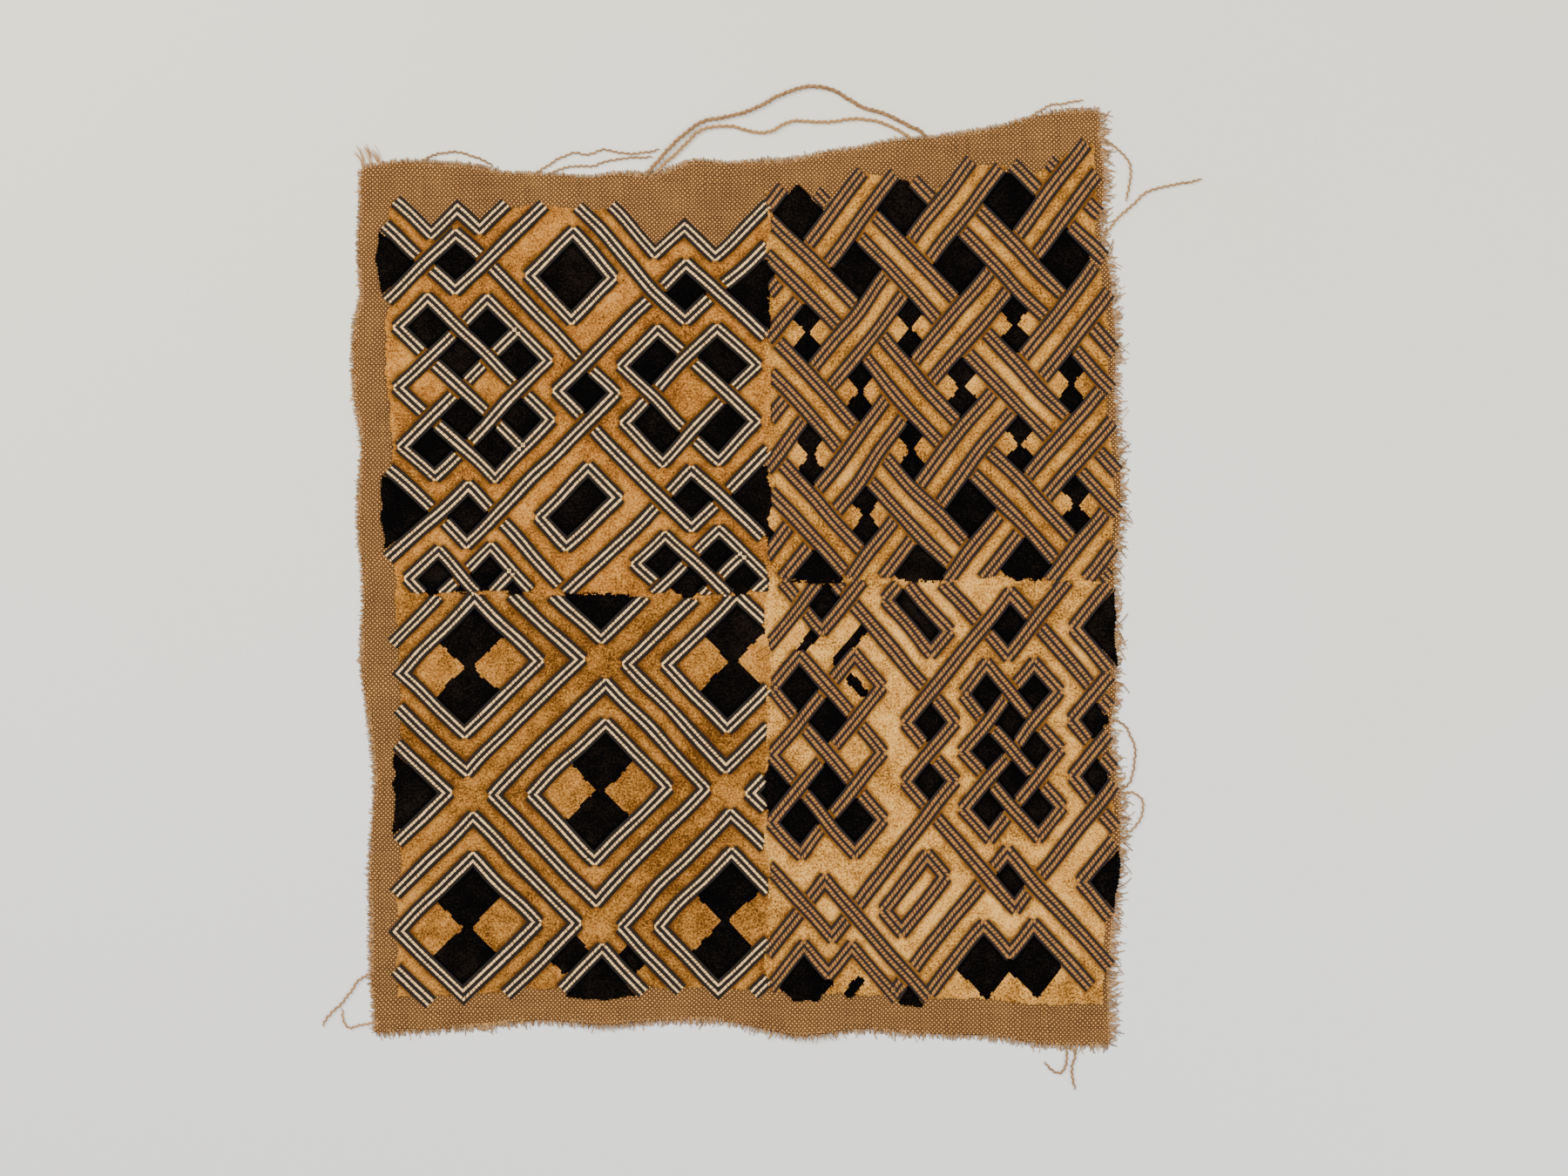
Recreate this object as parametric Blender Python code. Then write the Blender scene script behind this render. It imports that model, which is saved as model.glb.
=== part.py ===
"""A kuba raffia cloth lying flat: a plain-woven ground with a raised embroidered field, and its frayed edges.

All sizes in the tables are in millimetres. The origin is on the underside at the cloth's middle, +Y is
the cloth's upper edge and +Z points up.
"""

import math

import bmesh
import bpy
import numpy as np

MM = 0.001

# Heights, from the surface that the cloth lies on
WEAVE_HEIGHT = 1.2
FIELD_HEIGHT = 3.0
FRAY_HEIGHT = 1.0

# The field's rim rises over this width
RIM_WIDTH = 1.6

# Gap between the cloth's edge and the strip of yarn ends, and the strip's own width
PARTING = 0.35
STRIP_WIDTH = 1.8

# Stretch left free at both ends of a side, so that two strips don't meet at a corner
CORNER_FREE = 1.6

# How many points the smooth edge has between two rows of a table
STEPS_PER_ROW = 3

# Share of a lock's pitch that its root takes, and how wide its tip is against its root
ROOT_SHARE = 0.55
TIP_SHARE = 0.35

# A short lock is left out where a long yarn passes this near to it
YARN_CLEARANCE = 2.6

# Distance between two sections of a long yarn
YARN_STEP = 6.0

RANDOM_SEED = 7

# The sides, clockwise from the upper left corner. Columns: edge x, edge y, field x, field y,
# where the edge is the end of the firm weave and the field is the embroidery's border.
TOP_SIDE = (
    (-271, 297, -252, 274),
    (-245, 301, -236, 274),
    (-215, 300, -208, 279),
    (-190, 298, -186, 268),
    (-168, 293, -165, 271),
    (-140, 292, -138, 270),
    (-110, 290, -110, 270),
    (-85, 293, -85, 268),
    (-62, 292, -62, 260),
    (-48, 297, -47, 271),
    (-32, 302, -28, 264),
    (-8, 300, -5, 281),
    (15, 302, 15, 282),
    (38, 303, 38, 281),
    (62, 308, 62, 274),
    (85, 311, 88, 295),
    (110, 316, 112, 293),
    (135, 318, 138, 282),
    (160, 322, 164, 301),
    (185, 326, 186, 301),
    (210, 333, 208, 293),
    (235, 338, 234, 310),
    (257, 338, 253, 317),
)
RIGHT_SIDE = (
    (257, 338, 253, 317),
    (258, 318, 255, 304),
    (260, 300, 257, 288),
    (260, 280, 257, 268),
    (257, 258, 254, 252),
    (259, 240, 256, 236),
    (264, 222, 261, 218),
    (266, 200, 263, 196),
    (268, 170, 265, 168),
    (267, 142, 264, 140),
    (268, 118, 265, 116),
    (270, 92, 267, 90),
    (272, 64, 269, 62),
    (270, 34, 267, 34),
    (267, 5, 264, 5),
    (267, -25, 264, -25),
    (267, -52, 264, -52),
    (268, -80, 265, -78),
    (264, -100, 261, -100),
    (266, -122, 263, -122),
    (271, -150, 268, -150),
    (272, -176, 269, -172),
    (270, -205, 266, -200),
    (267, -240, 264, -232),
    (265, -270, 262, -258),
    (264, -300, 261, -282),
    (265, -329, 260, -302),
)
BOTTOM_SIDE = (
    (265, -329, 260, -302),
    (240, -330, 238, -302),
    (215, -329, 214, -303),
    (185, -324, 184, -299),
    (150, -322, 150, -298),
    (115, -321, 115, -297),
    (85, -318, 85, -296),
    (62, -321, 62, -294),
    (42, -323, 42, -294),
    (20, -319, 20, -292),
    (-8, -313, -8, -291),
    (-40, -312, -40, -290),
    (-70, -313, -68, -290),
    (-98, -315, -98, -293),
    (-125, -313, -125, -291),
    (-150, -312, -150, -291),
    (-180, -316, -176, -293),
    (-210, -318, -202, -296),
    (-240, -320, -230, -297),
    (-261, -321, -246, -297),
)
LEFT_SIDE = (
    (-261, -321, -246, -297),
    (-262, -300, -246, -280),
    (-264, -275, -247, -260),
    (-264, -240, -247, -232),
    (-265, -205, -244, -200),
    (-262, -165, -243, -165),
    (-261, -140, -243, -138),
    (-264, -110, -244, -108),
    (-268, -80, -244, -80),
    (-271, -50, -246, -50),
    (-269, -15, -247, -15),
    (-270, 10, -248, 10),
    (-273, 45, -252, 45),
    (-272, 75, -252, 72),
    (-270, 100, -250, 98),
    (-275, 128, -252, 128),
    (-277, 160, -255, 160),
    (-275, 190, -255, 188),
    (-271, 208, -252, 206),
    (-273, 235, -256, 230),
    (-272, 265, -254, 252),
    (-271, 297, -252, 274),
)

# Places where the edge stands a little off the surface. Columns: x, y, reach along the edge, height.
LIFTS = (
    (-97, -315, 26, 2.2),
    (48, -322, 28, 3.0),
    (-215, 300, 30, 1.6),
    (120, 317, 34, 1.8),
)

# The frayed sides. Columns: node, side, number of locks, mean length beyond the strip, spread of length.
FRAYED_SIDES = (
    ("fray_top", TOP_SIDE, 66, 3.2, 0.35),
    ("fray_right", RIGHT_SIDE, 84, 6.0, 0.40),
    ("fray_bottom", BOTTOM_SIDE, 70, 4.4, 0.35),
    ("fray_left", LEFT_SIDE, 58, 2.6, 0.35),
)

# Long loose yarns. Columns: node, width, height, whether the far end is rooted too, and the route
# in x and y from the root outwards.
LOOSE_YARNS = (
    ("fray_top", 1.6, 0.9, False, ((-270.5, 300), (-272, 307), (-276, 314))),
    ("fray_top", 1.6, 0.9, False, ((-265, 301), (-266, 309), (-269, 317))),
    ("fray_top", 1.6, 0.9, False, ((-259, 301), (-260, 307), (-264, 314))),
    ("fray_top", 1.0, 0.8, True, (
        (-228, 303), (-220, 307.5), (-209, 309.5), (-197, 308), (-186, 304.5), (-177, 299),
    )),
    ("fray_top", 1.0, 0.8, False, (
        (-146, 295), (-133, 303), (-121, 308.5), (-109, 308), (-98, 311), (-85, 308.5), (-70, 309),
        (-58, 311.5),
    )),
    ("fray_top", 1.0, 0.8, False, (
        (-134, 295), (-121, 299.5), (-107, 299.5), (-97, 303), (-84, 305), (-72, 305.5), (-63, 306),
    )),
    ("fray_top", 1.8, 1.1, True, (
        (-66, 295), (-53, 310), (-41, 321.5), (-29, 330.5), (-14, 334), (2, 337.5), (15, 342.5),
        (28, 350), (41, 355), (52, 356.5), (64, 354.5), (76, 348.5), (88, 341.5), (102, 337),
        (117, 330.5), (129, 324), (134, 319),
    )),
    ("fray_top", 1.5, 1.1, True, (
        (-59, 296), (-50, 305), (-38, 317), (-27, 325.5), (-13, 328), (0, 326.5), (14, 323.5),
        (24, 325.5), (36, 331.5), (50, 331), (66, 331.5), (84, 333), (98, 331.5), (111, 326.5),
        (119, 322), (124, 318),
    )),
    ("fray_top", 1.0, 0.8, False, ((209, 335), (221, 342.5), (233, 344.5), (246, 346.5))),
    ("fray_right", 1.0, 0.8, False, (
        (259, 320), (268, 313.5), (276, 306.5), (280, 299), (279, 286), (277, 274),
    )),
    ("fray_right", 1.1, 0.9, False, (
        (258, 247), (266, 256), (272, 263), (280, 270), (287, 277.5), (296, 282.5), (312, 286),
        (331, 290),
    )),
    ("fray_right", 1.0, 0.8, True, (
        (267, -97), (276, -102), (281, -112), (283, -122), (282, -134), (278, -144), (272, -147),
    )),
    ("fray_right", 1.0, 0.8, True, (
        (273, -151), (281, -149.5), (287, -154), (289, -161), (287, -168), (282, -176),
        (274, -180),
    )),
    ("fray_bottom", 1.1, 0.9, False, ((241, -332), (240, -340), (237.5, -347), (238, -355), (240, -363))),
    ("fray_bottom", 1.1, 0.9, False, ((234, -332), (234, -343), (231, -350.5), (225, -349.5), (218, -343))),
    ("fray_left", 1.0, 0.8, False, ((-263, -315), (-274, -317), (-281, -319), (-284.5, -312), (-285, -305))),
    ("fray_left", 1.1, 0.9, False, (
        (-265, -279), (-275, -286), (-281, -295), (-288, -303), (-296, -311), (-300, -317),
    )),
)

# Base colours, sampled by eye: name, linear red, green and blue, and roughness
RAFFIA_WEAVE = ("raffia_weave", (0.36, 0.20, 0.075), 0.85)
RAFFIA_ENDS = ("raffia_ends", (0.42, 0.25, 0.11), 0.9)


def clear_scene():
    """Removes every object of the starting scene."""
    for obj in list(bpy.data.objects):
        bpy.data.objects.remove(obj, do_unlink=True)


def make_material(name, colour, roughness):
    """A plain fibre surface of one colour."""
    material = bpy.data.materials.new(name)
    material.use_nodes = True
    shader = material.node_tree.nodes["Principled BSDF"]
    shader.inputs["Base Color"].default_value = (*colour, 1.0)
    shader.inputs["Roughness"].default_value = roughness
    shader.inputs["Metallic"].default_value = 0.0
    return material


def smooth_curve(rows, steps):
    """A Catmull-Rom curve through the rows, with this many steps from each row to the next."""
    rows = np.asarray(rows, float)
    padded = np.vstack([2 * rows[0] - rows[1], rows, 2 * rows[-1] - rows[-2]])
    before, here, after, beyond = padded[:-3], padded[1:-2], padded[2:-1], padded[3:]
    share = (np.arange(steps) / steps)[:, None, None]
    curve = 0.5 * (
        2 * here
        + (after - before) * share
        + (2 * before - 5 * here + 4 * after - beyond) * share**2
        + (3 * here - before - 3 * after + beyond) * share**3
    )
    return np.vstack([curve.transpose(1, 0, 2).reshape(-1, rows.shape[1]), rows[-1]])


def lift(points):
    """How far the edge stands off the surface at these points, in millimetres."""
    height = np.zeros(len(points))
    for x, y, reach, top in LIFTS:
        distance = np.hypot(points[:, 0] - x, points[:, 1] - y)
        height += top * np.exp(-((distance / reach) ** 2))
    return np.where(height > 0.05, height, 0.0)


def closed_outline():
    """The whole edge and the field's border, as two closed rings with the same number of points."""
    sides = [smooth_curve(side, STEPS_PER_ROW)[:-1] for side in (TOP_SIDE, RIGHT_SIDE, BOTTOM_SIDE, LEFT_SIDE)]
    ring = np.vstack(sides)
    return ring[:, :2], ring[:, 2:]


def ring_normals(ring):
    """Unit vectors that point out of a clockwise closed ring."""
    along = np.roll(ring, -1, axis=0) - np.roll(ring, 1, axis=0)
    along /= np.linalg.norm(along, axis=1)[:, None]
    return np.column_stack([-along[:, 1], along[:, 0]])


def add_ring(mesh, ring, heights):
    """Adds one vertex for each point of the ring, at its height."""
    return [mesh.verts.new((x * MM, y * MM, z * MM)) for (x, y), z in zip(ring, heights)]


def join_rings(mesh, lower, upper):
    """Faces between two closed rings of as many points."""
    for i, corner in enumerate(lower):
        j = (i + 1) % len(lower)
        mesh.faces.new((corner, lower[j], upper[j], upper[i]))


def finish_object(mesh, name, material):
    """Turns the mesh's faces outwards and makes its object."""
    bmesh.ops.recalc_face_normals(mesh, faces=mesh.faces)
    data = bpy.data.meshes.new(name)
    mesh.to_mesh(data)
    mesh.free()
    data.materials.append(material)
    obj = bpy.data.objects.new(name, data)
    bpy.context.scene.collection.objects.link(obj)
    return obj


def make_ground_cloth(material):
    """The woven panel: flat under its field, with a border that lifts a little and a field that stands proud."""
    edge, field = closed_outline()
    rim = field - RIM_WIDTH * ring_normals(field)
    level = np.zeros(len(edge))
    edge_lift = lift(edge)
    mesh = bmesh.new()
    under_field = add_ring(mesh, field, level)
    under_edge = add_ring(mesh, edge, edge_lift)
    top_edge = add_ring(mesh, edge, edge_lift + WEAVE_HEIGHT)
    field_foot = add_ring(mesh, field, level + WEAVE_HEIGHT)
    field_rim = add_ring(mesh, rim, level + FIELD_HEIGHT)
    for lower, upper in (
        (under_field, under_edge),
        (under_edge, top_edge),
        (top_edge, field_foot),
        (field_foot, field_rim),
    ):
        join_rings(mesh, lower, upper)
    mesh.faces.new(under_field)
    mesh.faces.new(field_rim)
    return finish_object(mesh, "ground_cloth", material)


def points_along(line, distances):
    """Points at these distances along an open line, and the unit normals that point out of the cloth."""
    steps = np.diff(line, axis=0)
    reached = np.concatenate([[0.0], np.cumsum(np.hypot(steps[:, 0], steps[:, 1]))])
    points = np.column_stack([np.interp(distances, reached, line[:, axis]) for axis in (0, 1)])
    slope = np.gradient(line, reached, axis=0)
    along = np.column_stack([np.interp(distances, reached, slope[:, axis]) for axis in (0, 1)])
    along /= np.linalg.norm(along, axis=1)[:, None]
    return points, np.column_stack([-along[:, 1], along[:, 0]])


def yarn_edges(route, width):
    """The two long edges of a yarn that follows the route, without its first and last sections."""
    line = smooth_curve(route, 4)
    steps = np.hypot(*np.diff(line, axis=0).T)
    reached = np.concatenate([[0.0], np.cumsum(steps)])
    sections = max(3, round(reached[-1] / YARN_STEP))
    spots, left = points_along(line, np.linspace(0, reached[-1], sections + 1))
    return spots + left * width / 2, spots - left * width / 2


def lock_tips(roots, outward, length, spread, random):
    """Where each short lock ends, as its two tip corners, with its own length and lean."""
    first, last = roots[0::2], roots[1::2]
    middle = (first + last) / 2
    width = np.linalg.norm(last - first, axis=1)[:, None]
    along = (last - first) / width
    reach = length * (1 + spread * random.uniform(-1, 1, len(first)))[:, None]
    lean = reach * random.uniform(-0.22, 0.22, len(first))[:, None]
    tip = middle + outward * reach + along * lean
    return tip - along * width * TIP_SHARE / 2, tip + along * width * TIP_SHARE / 2


def nearest_lock(middles, spot, taken):
    """The index of the free lock root nearest to a spot."""
    distance = np.linalg.norm(middles - np.asarray(spot), axis=1)
    distance[list(taken)] = math.inf
    return int(distance.argmin())


def make_fray(name, side, count, length, spread, material, random):
    """A strip of yarn ends beside one edge: its backing, its short locks and its long loose yarns."""
    line = smooth_curve(side, STEPS_PER_ROW)[:, :2]
    total = np.hypot(*np.diff(line, axis=0).T).sum()
    pitch = (total - 2 * CORNER_FREE) / count
    starts = CORNER_FREE + pitch * (np.arange(count) + random.uniform(0.05, 0.40, count))
    distances = np.column_stack([starts, starts + pitch * ROOT_SHARE]).ravel()
    distances[0], distances[-1] = CORNER_FREE, total - CORNER_FREE
    spots, outward = points_along(line, distances)
    inner = spots + PARTING * outward
    outer = spots + (PARTING + STRIP_WIDTH) * outward
    lock_outward = (outward[0::2] + outward[1::2]) / 2
    tip_a, tip_b = lock_tips(outer, lock_outward, length, spread, random)
    middles = (outer[0::2] + outer[1::2]) / 2

    mesh = bmesh.new()

    def vertices(points):
        """Adds the points at the height where the edge lies."""
        return add_ring(mesh, points, lift(points))

    inner_row, outer_row = vertices(inner), vertices(outer)
    for i in range(len(inner_row) - 1):
        mesh.faces.new((inner_row[i], inner_row[i + 1], outer_row[i + 1], outer_row[i]))

    rooted = set()
    routes = []
    heights = {}
    for node, width, height, both_ends, route in LOOSE_YARNS:
        if node != name:
            continue
        first = nearest_lock(middles, route[0], rooted)
        rooted.add(first)
        left, right = yarn_edges(route, width)
        stop = len(left) - 1 if both_ends else len(left)
        left_row = [outer_row[2 * first], *vertices(left[1:stop])]
        right_row = [outer_row[2 * first + 1], *vertices(right[1:stop])]
        if both_ends:
            last = nearest_lock(middles, route[-1], rooted)
            rooted.add(last)
            left_row.append(outer_row[2 * last + 1])
            right_row.append(outer_row[2 * last])
        for i in range(len(left_row) - 1):
            mesh.faces.new((left_row[i], right_row[i], right_row[i + 1], left_row[i + 1]))
        routes.append((left[1:] + right[1:]) / 2)
        heights.update({vert: height for vert in (*left_row[1:stop], *right_row[1:stop])})

    for lock in range(count):
        if lock in rooted:
            continue
        reach = np.linspace(middles[lock], (tip_a[lock] + tip_b[lock]) / 2, 3)
        near = [np.linalg.norm(route[:, None] - reach, axis=2).min() for route in routes]
        if near and min(near) < YARN_CLEARANCE:
            continue
        tips = vertices(np.vstack([tip_a[lock], tip_b[lock]]))
        mesh.faces.new((outer_row[2 * lock], outer_row[2 * lock + 1], tips[1], tips[0]))

    yarn_heights = [heights.get(vert, FRAY_HEIGHT) for vert in mesh.verts]
    raised = bmesh.ops.extrude_face_region(mesh, geom=list(mesh.faces), use_keep_orig=True)
    upper = [element for element in raised["geom"] if isinstance(element, bmesh.types.BMVert)]
    for vert, height in zip(upper, yarn_heights):
        vert.co.z += height * MM
    return finish_object(mesh, name, material)


def main():
    """Makes the cloth and its four frayed edges under one empty at the origin."""
    clear_scene()
    weave = make_material(*RAFFIA_WEAVE)
    ends = make_material(*RAFFIA_ENDS)
    holder = bpy.data.objects.new("cloth_frame", None)
    bpy.context.scene.collection.objects.link(holder)
    pieces = [make_ground_cloth(weave)]
    random = np.random.default_rng(RANDOM_SEED)
    for name, side, count, length, spread in FRAYED_SIDES:
        pieces.append(make_fray(name, side, count, length, spread, ends, random))
    for piece in pieces:
        piece.parent = holder


main()
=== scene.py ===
"""A kuba raffia cloth that lies face up: plain weave, cut pile, stem-stitched bands and frayed edges.

It has four quarters, each worked on a lattice that is turned by 45 degrees: linked rings around knots and
diamonds, nested diamonds, straps that pass over and under each other, and chains of twisted rings. Each
holds its lattice's sizes and places, which were measured on the photograph, and the bands and cells are
worked out from them.

Tables of places on the cloth are in millimetres. The design is in squares of SQUARE millimetres, where a
runs down to the right and b runs up to the right. Meshes are in metres.
"""

import logging
from collections.abc import Callable
from dataclasses import dataclass
from enum import Enum
from functools import partial

import bpy
import numpy as np
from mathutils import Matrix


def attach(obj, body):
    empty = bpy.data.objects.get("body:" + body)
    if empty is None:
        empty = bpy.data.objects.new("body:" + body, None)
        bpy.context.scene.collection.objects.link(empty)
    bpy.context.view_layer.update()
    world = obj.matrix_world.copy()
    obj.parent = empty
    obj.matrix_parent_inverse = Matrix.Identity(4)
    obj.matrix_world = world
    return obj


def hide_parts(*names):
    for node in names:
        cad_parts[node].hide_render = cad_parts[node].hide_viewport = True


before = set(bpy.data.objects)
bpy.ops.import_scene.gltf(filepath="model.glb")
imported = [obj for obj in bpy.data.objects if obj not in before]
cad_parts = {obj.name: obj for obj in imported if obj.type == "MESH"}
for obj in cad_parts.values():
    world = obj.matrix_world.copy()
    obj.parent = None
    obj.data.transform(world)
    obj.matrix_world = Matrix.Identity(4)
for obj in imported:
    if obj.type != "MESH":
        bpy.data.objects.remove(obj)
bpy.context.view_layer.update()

LOG = logging.getLogger("raffia_cloth")

# A box in the design, as its middle and half its sizes along a and b
Box = tuple[float, float, float, float]
# The rows of one side of the cloth, in the columns that the tables of the sides have
SideRows = tuple[tuple[float, float, float, float], ...]
# Stretches of bands: points, offsets to the left and width of each
Runs = list[tuple[np.ndarray, np.ndarray, float]]

MM = 0.001
SQUARE = 2.5
DIAGONAL = np.sqrt(2)

# The photograph's frame: its size, the real size of a pixel and the pixel over the cloth's origin
FRAME_WIDTH_PX = 1800
FRAME_HEIGHT_PX = 1350
PIXEL_MM = 0.625
ORIGIN_PX = (850, 670)

# Heights over the surface that the cloth lies on, in millimetres
WEAVE_TOP = 1.2
WEAVE_UNDER_PILE = 0.9
PILE_FOOT = 1.1
PILE_TOP = 3.1
BAND_FOOT = 1.0
BAND_BASE = 1.75
BAND_RIDGE = 0.45

# Distance between two points of the pile's grid, in squares, and along a band, in squares
PILE_STEP = 0.5
BAND_STEP = 0.6

# Widths of the bands and distance of the straps, in squares, from their sizes in millimetres
CREAM_BAND = 10.5 / SQUARE
BROWN_BAND = 10.5 / SQUARE
KNOT_BAND = 10 / SQUARE
STRAP_PITCH = 58 / SQUARE

# How far a cell reaches under the bands around it, how much wider than its band a crossing is on each
# side, and how far a run has to reach past a crossing for it to count, in squares
UNDER_BAND = 0.7
CROSSING_GAP = 0.5
CROSSING_REACH = 1

# Length of a stitch in millimetres, and how many stitches its row leans by across the band
STITCH = 2.6
STITCH_SLANT = 1.7

# Ragged lines between the quarters: how far they stray and over what distance, in millimetres
RAGGED_SIZE = 2.5
RAGGED_LENGTH = 17

# Corner radius of a black cell and of the tan squares in it, in squares, and these squares' middle and
# half size as shares of the cell's half size
CELL_ROUNDING = 1.4
TAN_ROUNDING = 0.8
TAN_MIDDLE = 0.565
TAN_HALF = 0.5

# The sides, clockwise from the upper left corner. Columns: edge x, edge y, field x, field y,
# where the edge is the end of the firm weave and the field is the embroidery's border.
TOP_SIDE = (
    (-271, 297, -252, 274), (-245, 301, -236, 274), (-215, 300, -208, 279), (-190, 298, -186, 268),
    (-168, 293, -165, 271), (-140, 292, -138, 270), (-110, 290, -110, 270), (-85, 293, -85, 268),
    (-62, 292, -62, 260), (-48, 297, -47, 271), (-32, 302, -28, 264), (-8, 300, -5, 281),
    (15, 302, 15, 282), (38, 303, 38, 281), (62, 308, 62, 274), (85, 311, 88, 295),
    (110, 316, 112, 293), (135, 318, 138, 282), (160, 322, 164, 301), (185, 326, 186, 301),
    (210, 333, 208, 293), (235, 338, 234, 310), (257, 338, 253, 317),
)
RIGHT_SIDE = (
    (257, 338, 253, 317), (258, 318, 255, 304), (260, 300, 257, 288), (260, 280, 257, 268),
    (257, 258, 254, 252), (259, 240, 256, 236), (264, 222, 261, 218), (266, 200, 263, 196),
    (268, 170, 265, 168), (267, 142, 264, 140), (268, 118, 265, 116), (270, 92, 267, 90),
    (272, 64, 269, 62), (270, 34, 267, 34), (267, 5, 264, 5), (267, -25, 264, -25),
    (267, -52, 264, -52), (268, -80, 265, -78), (264, -100, 261, -100), (266, -122, 263, -122),
    (271, -150, 268, -150), (272, -176, 269, -172), (270, -205, 266, -200), (267, -240, 264, -232),
    (265, -270, 262, -258), (264, -300, 261, -282), (265, -329, 260, -302),
)
BOTTOM_SIDE = (
    (265, -329, 260, -302), (240, -330, 238, -302), (215, -329, 214, -303), (185, -324, 184, -299),
    (150, -322, 150, -298), (115, -321, 115, -297), (85, -318, 85, -296), (62, -321, 62, -294),
    (42, -323, 42, -294), (20, -319, 20, -292), (-8, -313, -8, -291), (-40, -312, -40, -290),
    (-70, -313, -68, -290), (-98, -315, -98, -293), (-125, -313, -125, -291), (-150, -312, -150, -291),
    (-180, -316, -176, -293), (-210, -318, -202, -296), (-240, -320, -230, -297), (-261, -321, -246, -297),
)
LEFT_SIDE = (
    (-261, -321, -246, -297), (-262, -300, -246, -280), (-264, -275, -247, -260), (-264, -240, -247, -232),
    (-265, -205, -244, -200), (-262, -165, -243, -165), (-261, -140, -243, -138), (-264, -110, -244, -108),
    (-268, -80, -244, -80), (-271, -50, -246, -50), (-269, -15, -247, -15), (-270, 10, -248, 10),
    (-273, 45, -252, 45), (-272, 75, -252, 72), (-270, 100, -250, 98), (-275, 128, -252, 128),
    (-277, 160, -255, 160), (-275, 190, -255, 188), (-271, 208, -252, 206), (-273, 235, -256, 230),
    (-272, 265, -254, 252), (-271, 297, -252, 274),
)

# Places where the edge stands a little off the surface. Columns: x, y, reach along the edge, height.
LIFTS = ((-97, -315, 26, 2.2), (48, -322, 28, 3.0), (-215, 300, 30, 1.6), (120, 317, 34, 1.8))

# Long loose yarns. Columns: side, width, and the route in x and y from the root outwards.
LOOSE_YARNS = (
    ("top", 1.6, ((-270.5, 300), (-272, 307), (-276, 314))),
    ("top", 1.6, ((-265, 301), (-266, 309), (-269, 317))),
    ("top", 1.6, ((-259, 301), (-260, 307), (-264, 314))),
    ("top", 1.0, ((-228, 303), (-220, 307.5), (-209, 309.5), (-197, 308), (-186, 304.5), (-177, 299))),
    ("top", 1.0, ((-146, 295), (-133, 303), (-121, 308.5), (-109, 308), (-98, 311), (-85, 308.5),
                  (-70, 309), (-58, 311.5))),
    ("top", 1.0, ((-134, 295), (-121, 299.5), (-107, 299.5), (-97, 303), (-84, 305), (-72, 305.5),
                  (-63, 306))),
    ("top", 1.8, ((-66, 295), (-53, 310), (-41, 321.5), (-29, 330.5), (-14, 334), (2, 337.5), (15, 342.5),
                  (28, 350), (41, 355), (52, 356.5), (64, 354.5), (76, 348.5), (88, 341.5), (102, 337),
                  (117, 330.5), (129, 324), (134, 319))),
    ("top", 1.5, ((-59, 296), (-50, 305), (-38, 317), (-27, 325.5), (-13, 328), (0, 326.5), (14, 323.5),
                  (24, 325.5), (36, 331.5), (50, 331), (66, 331.5), (84, 333), (98, 331.5), (111, 326.5),
                  (119, 322), (124, 318))),
    ("top", 1.0, ((209, 335), (221, 342.5), (233, 344.5), (246, 346.5))),
    ("right", 1.0, ((259, 320), (268, 313.5), (276, 306.5), (280, 299), (279, 286), (277, 274))),
    ("right", 1.1, ((258, 247), (266, 256), (272, 263), (280, 270), (287, 277.5), (296, 282.5), (312, 286),
                    (331, 290))),
    ("right", 1.0, ((267, -97), (276, -102), (281, -112), (283, -122), (282, -134), (278, -144),
                    (272, -147))),
    ("right", 1.0, ((273, -151), (281, -149.5), (287, -154), (289, -161), (287, -168), (282, -176),
                    (274, -180))),
    ("bottom", 1.1, ((241, -332), (240, -340), (237.5, -347), (238, -355), (240, -363))),
    ("bottom", 1.1, ((234, -332), (234, -343), (231, -350.5), (225, -349.5), (218, -343))),
    ("left", 1.0, ((-263, -315), (-274, -317), (-281, -319), (-284.5, -312), (-285, -305))),
    ("left", 1.1, ((-265, -279), (-275, -286), (-281, -295), (-288, -303), (-296, -311), (-300, -317))),
)


def smooth_curve(rows: np.ndarray, steps: int) -> np.ndarray:
    """A Catmull-Rom curve: between two rows, the cubic whose end slopes are half the step across each row.

    Args:
        rows: The points that the curve passes through, one row each.
        steps: How many points it has from each row to the next.

    Returns:
        The curve's points, with as many columns as rows has.
    """
    rows = np.asarray(rows, float)
    padded = np.vstack([2 * rows[0] - rows[1], rows, 2 * rows[-1] - rows[-2]])
    before, here, after, beyond = padded[:-3], padded[1:-2], padded[2:-1], padded[3:]
    share = (np.arange(steps) / steps)[:, None, None]
    curve = 0.5 * (
        2 * here
        + (after - before) * share
        + (2 * before - 5 * here + 4 * after - beyond) * share**2
        + (3 * here - before - 3 * after + beyond) * share**3
    )
    return np.vstack([curve.transpose(1, 0, 2).reshape(-1, rows.shape[1]), rows[-1]])


def spaced(line: np.ndarray, count: int) -> np.ndarray:
    """The line read again at this many points, evenly spaced by the length of its first two columns.

    Args:
        line: Points of an open line, one row each.
        count: How many points to return.

    Returns:
        The new points, with the same columns.
    """
    steps = np.hypot(*np.diff(line[:, :2], axis=0).T)
    reached = np.concatenate([[0.0], np.cumsum(steps)])
    wanted = np.linspace(0, reached[-1], count)
    return np.column_stack([np.interp(wanted, reached, column) for column in line.T])


def line_length(line: np.ndarray) -> float:
    """The length of an open line of points."""
    return float(np.linalg.norm(np.diff(line[:, :2], axis=0), axis=1).sum())


def left_of(line: np.ndarray) -> np.ndarray:
    """Unit vectors to the left of an open line: its slope turned by a quarter.

    Args:
        line: Points of the line, one row each, with x and y first.

    Returns:
        One vector for each point.
    """
    slope = np.gradient(line[:, :2], axis=0)
    slope /= np.linalg.norm(slope, axis=1)[:, None]
    return np.column_stack([-slope[:, 1], slope[:, 0]])


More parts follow.
